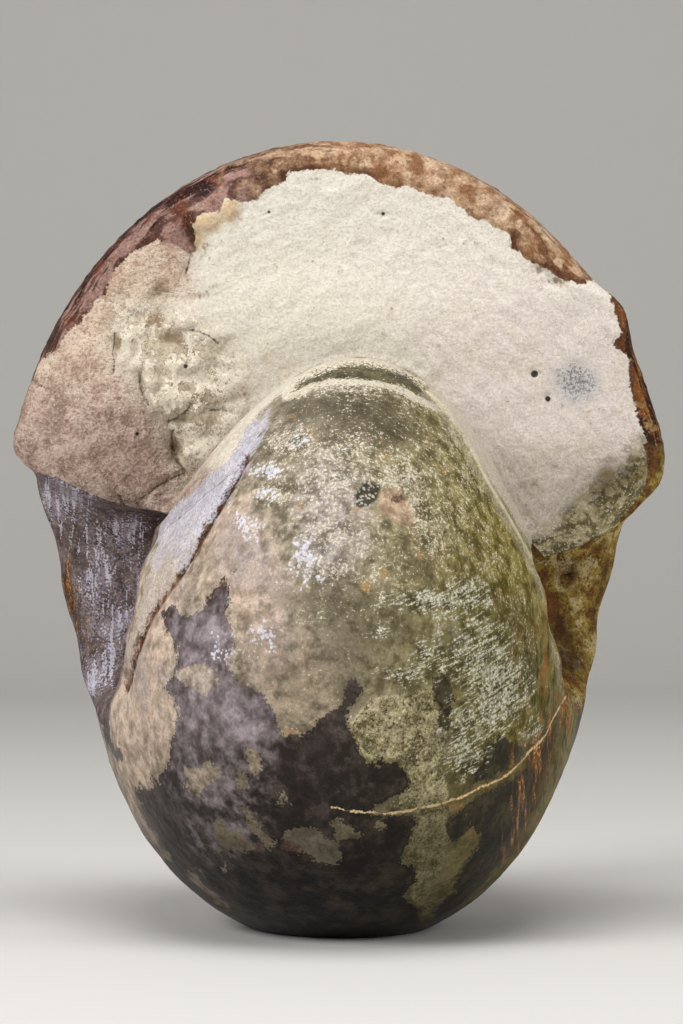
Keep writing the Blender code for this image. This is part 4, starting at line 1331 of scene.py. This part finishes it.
class FossilColours(bpy.types.PropertyGroup):
    """The main hues of the stone."""

    bare_stone: colour_property("Bare stone", "Cream stone of the broken face", 207, 200, 184)
    pink_stone: colour_property("Pink stone", "Left lobe of the broken face", 184, 159, 147)
    rim_dark: colour_property("Dark rim", "Shell on the upper left of the rim", 88, 58, 50)
    rim_orange: colour_property("Orange rim", "Shell on the right of the rim", 126, 78, 32)
    dark_skin: colour_property("Dark skin", "What is left of the outer skin of the whorls", 46, 39, 36)
    tan_stone: colour_property("Tan stone", "Worn stone on the left of the whorls", 194, 173, 157)
    olive_stone: colour_property("Olive stone", "Worn stone on the right of the whorls", 88, 78, 24)
    pale_specks: colour_property("Pale specks", "Fine crust on the crown", 204, 196, 179)
    chalk: colour_property("Chalk", "Bluish white crust", 204, 203, 211)
    scribe_marks: colour_property("Scribe marks", "Marks of a scribing tool", 206, 204, 184)
    rust: colour_property("Rust", "Streaks at the lower right", 104, 66, 28)
    vein: colour_property("Vein", "Thin line of calcite", 220, 198, 152)
    floor: colour_property("Floor", "The plain stage", 218, 216, 212)


class FOSSIL_OT_skin(bpy.types.Operator):
    """Make the fossil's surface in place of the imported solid"""

    bl_idname = "fossil.skin"
    bl_label = "Fossil skin"

    def execute(self, context):
        shell = Shell(context.scene.fossil_sizes)
        mesh = mesh_from("fossil_skin", *skin_surface(shell))
        piece = bpy.data.objects.new("fossil_skin", mesh)
        context.scene.collection.objects.link(piece)
        mesh.materials.append(fossil_material(context.scene.fossil_colours))
        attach(piece, "root")
        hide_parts(NODE)
        return {"FINISHED"}


class FOSSIL_OT_stage(bpy.types.Operator):
    """Make the floor, the lights and the camera"""

    bl_idname = "fossil.stage"
    bl_label = "Stage"

    def execute(self, context):
        scene = context.scene
        floor = bpy.data.objects.new("floor", stage_sweep())
        scene.collection.objects.link(floor)
        finish = Finish("stage_paper")
        floor.data.materials.append(finish.done(tuple(scene.fossil_colours.floor), 0.9))
        middle = Vector((0, 0, 0.075))
        for name, place, size, power in SOFTBOXES:
            light = bpy.data.lights.new(name, "AREA")
            light.shape, light.size, light.energy = "SQUARE", size, power
            lamp = bpy.data.objects.new(name, light)
            scene.collection.objects.link(lamp)
            lamp.location = place
            lamp.rotation_euler = (middle - lamp.location).to_track_quat("-Z", "Y").to_euler()
        world = bpy.data.worlds.new("soft_room")
        world.use_nodes = True
        world.node_tree.nodes["Background"].inputs["Color"].default_value = (1.0, 0.98, 0.95, 1)
        world.node_tree.nodes["Background"].inputs["Strength"].default_value = 0.26
        scene.world = world
        scene.view_settings.view_transform = "Standard"
        data = bpy.data.cameras.new("camera")
        camera = bpy.data.objects.new("camera", data)
        scene.collection.objects.link(camera)
        camera.location = camera_place(Shell(scene.fossil_sizes))
        camera.rotation_euler = (np.pi / 2, 0, 0)
        data.sensor_fit = "VERTICAL"
        data.sensor_height = 36
        data.lens = 36 * VIEW_DISTANCE / (VIEW_HEIGHT * PIXEL)
        data.clip_start = 0.02
        scene.camera = camera
        return {"FINISHED"}


SOFTBOXES = [
    ("softbox_left", (-0.74, -0.62, 0.60), 0.45, 7.2),
    ("softbox_right", (0.86, -0.44, 0.50), 0.45, 3.0),
    ("softbox_top", (0.0, -0.34, 1.0), 0.6, 6.0),
]


def stage_sweep():
    """A flat floor that turns up behind in a quarter circle and goes on as a wall, as wide strips."""
    turn = np.linspace(0, np.pi / 2, 24)
    back = np.concatenate([[-2.5], 0.9 + 0.5 * np.sin(turn), [1.4]])
    up = np.concatenate([[0], 0.5 - 0.5 * np.cos(turn), [2.6]])
    left = np.stack([np.full(back.shape, -3.0), back, up], axis=-1)
    right = left * [-1, 1, 1]
    points = np.concatenate([left, right])
    count = len(left)
    rows = np.arange(count - 1)
    quads = np.stack([rows, rows + count, rows + count + 1, rows + 1], axis=-1)
    return mesh_from("floor", points, quads, np.zeros((0, 3), dtype=int), {})


class FOSSIL_PT_panel(bpy.types.Panel):
    bl_idname = "FOSSIL_PT_panel"
    bl_label = "Ammonite fossil"
    bl_space_type = "VIEW_3D"
    bl_region_type = "UI"
    bl_category = "Fossil"

    def draw(self, context):
        layout = self.layout
        for group in (context.scene.fossil_sizes, context.scene.fossil_colours):
            for name in group.__annotations__:
                layout.prop(group, name)
        layout.operator(FOSSIL_OT_skin.bl_idname)
        layout.operator(FOSSIL_OT_stage.bl_idname)


CLASSES = (FossilSizes, FossilColours, FOSSIL_OT_skin, FOSSIL_OT_stage, FOSSIL_PT_panel)


def register():
    for item in CLASSES:
        bpy.utils.register_class(item)
    bpy.types.Scene.fossil_sizes = bpy.props.PointerProperty(type=FossilSizes)
    bpy.types.Scene.fossil_colours = bpy.props.PointerProperty(type=FossilColours)


def unregister():
    del bpy.types.Scene.fossil_colours
    del bpy.types.Scene.fossil_sizes
    for item in reversed(CLASSES):
        bpy.utils.unregister_class(item)


def main():
    register()
    bpy.ops.fossil.skin()
    bpy.ops.fossil.stage()


if __name__ == "__main__":
    main()
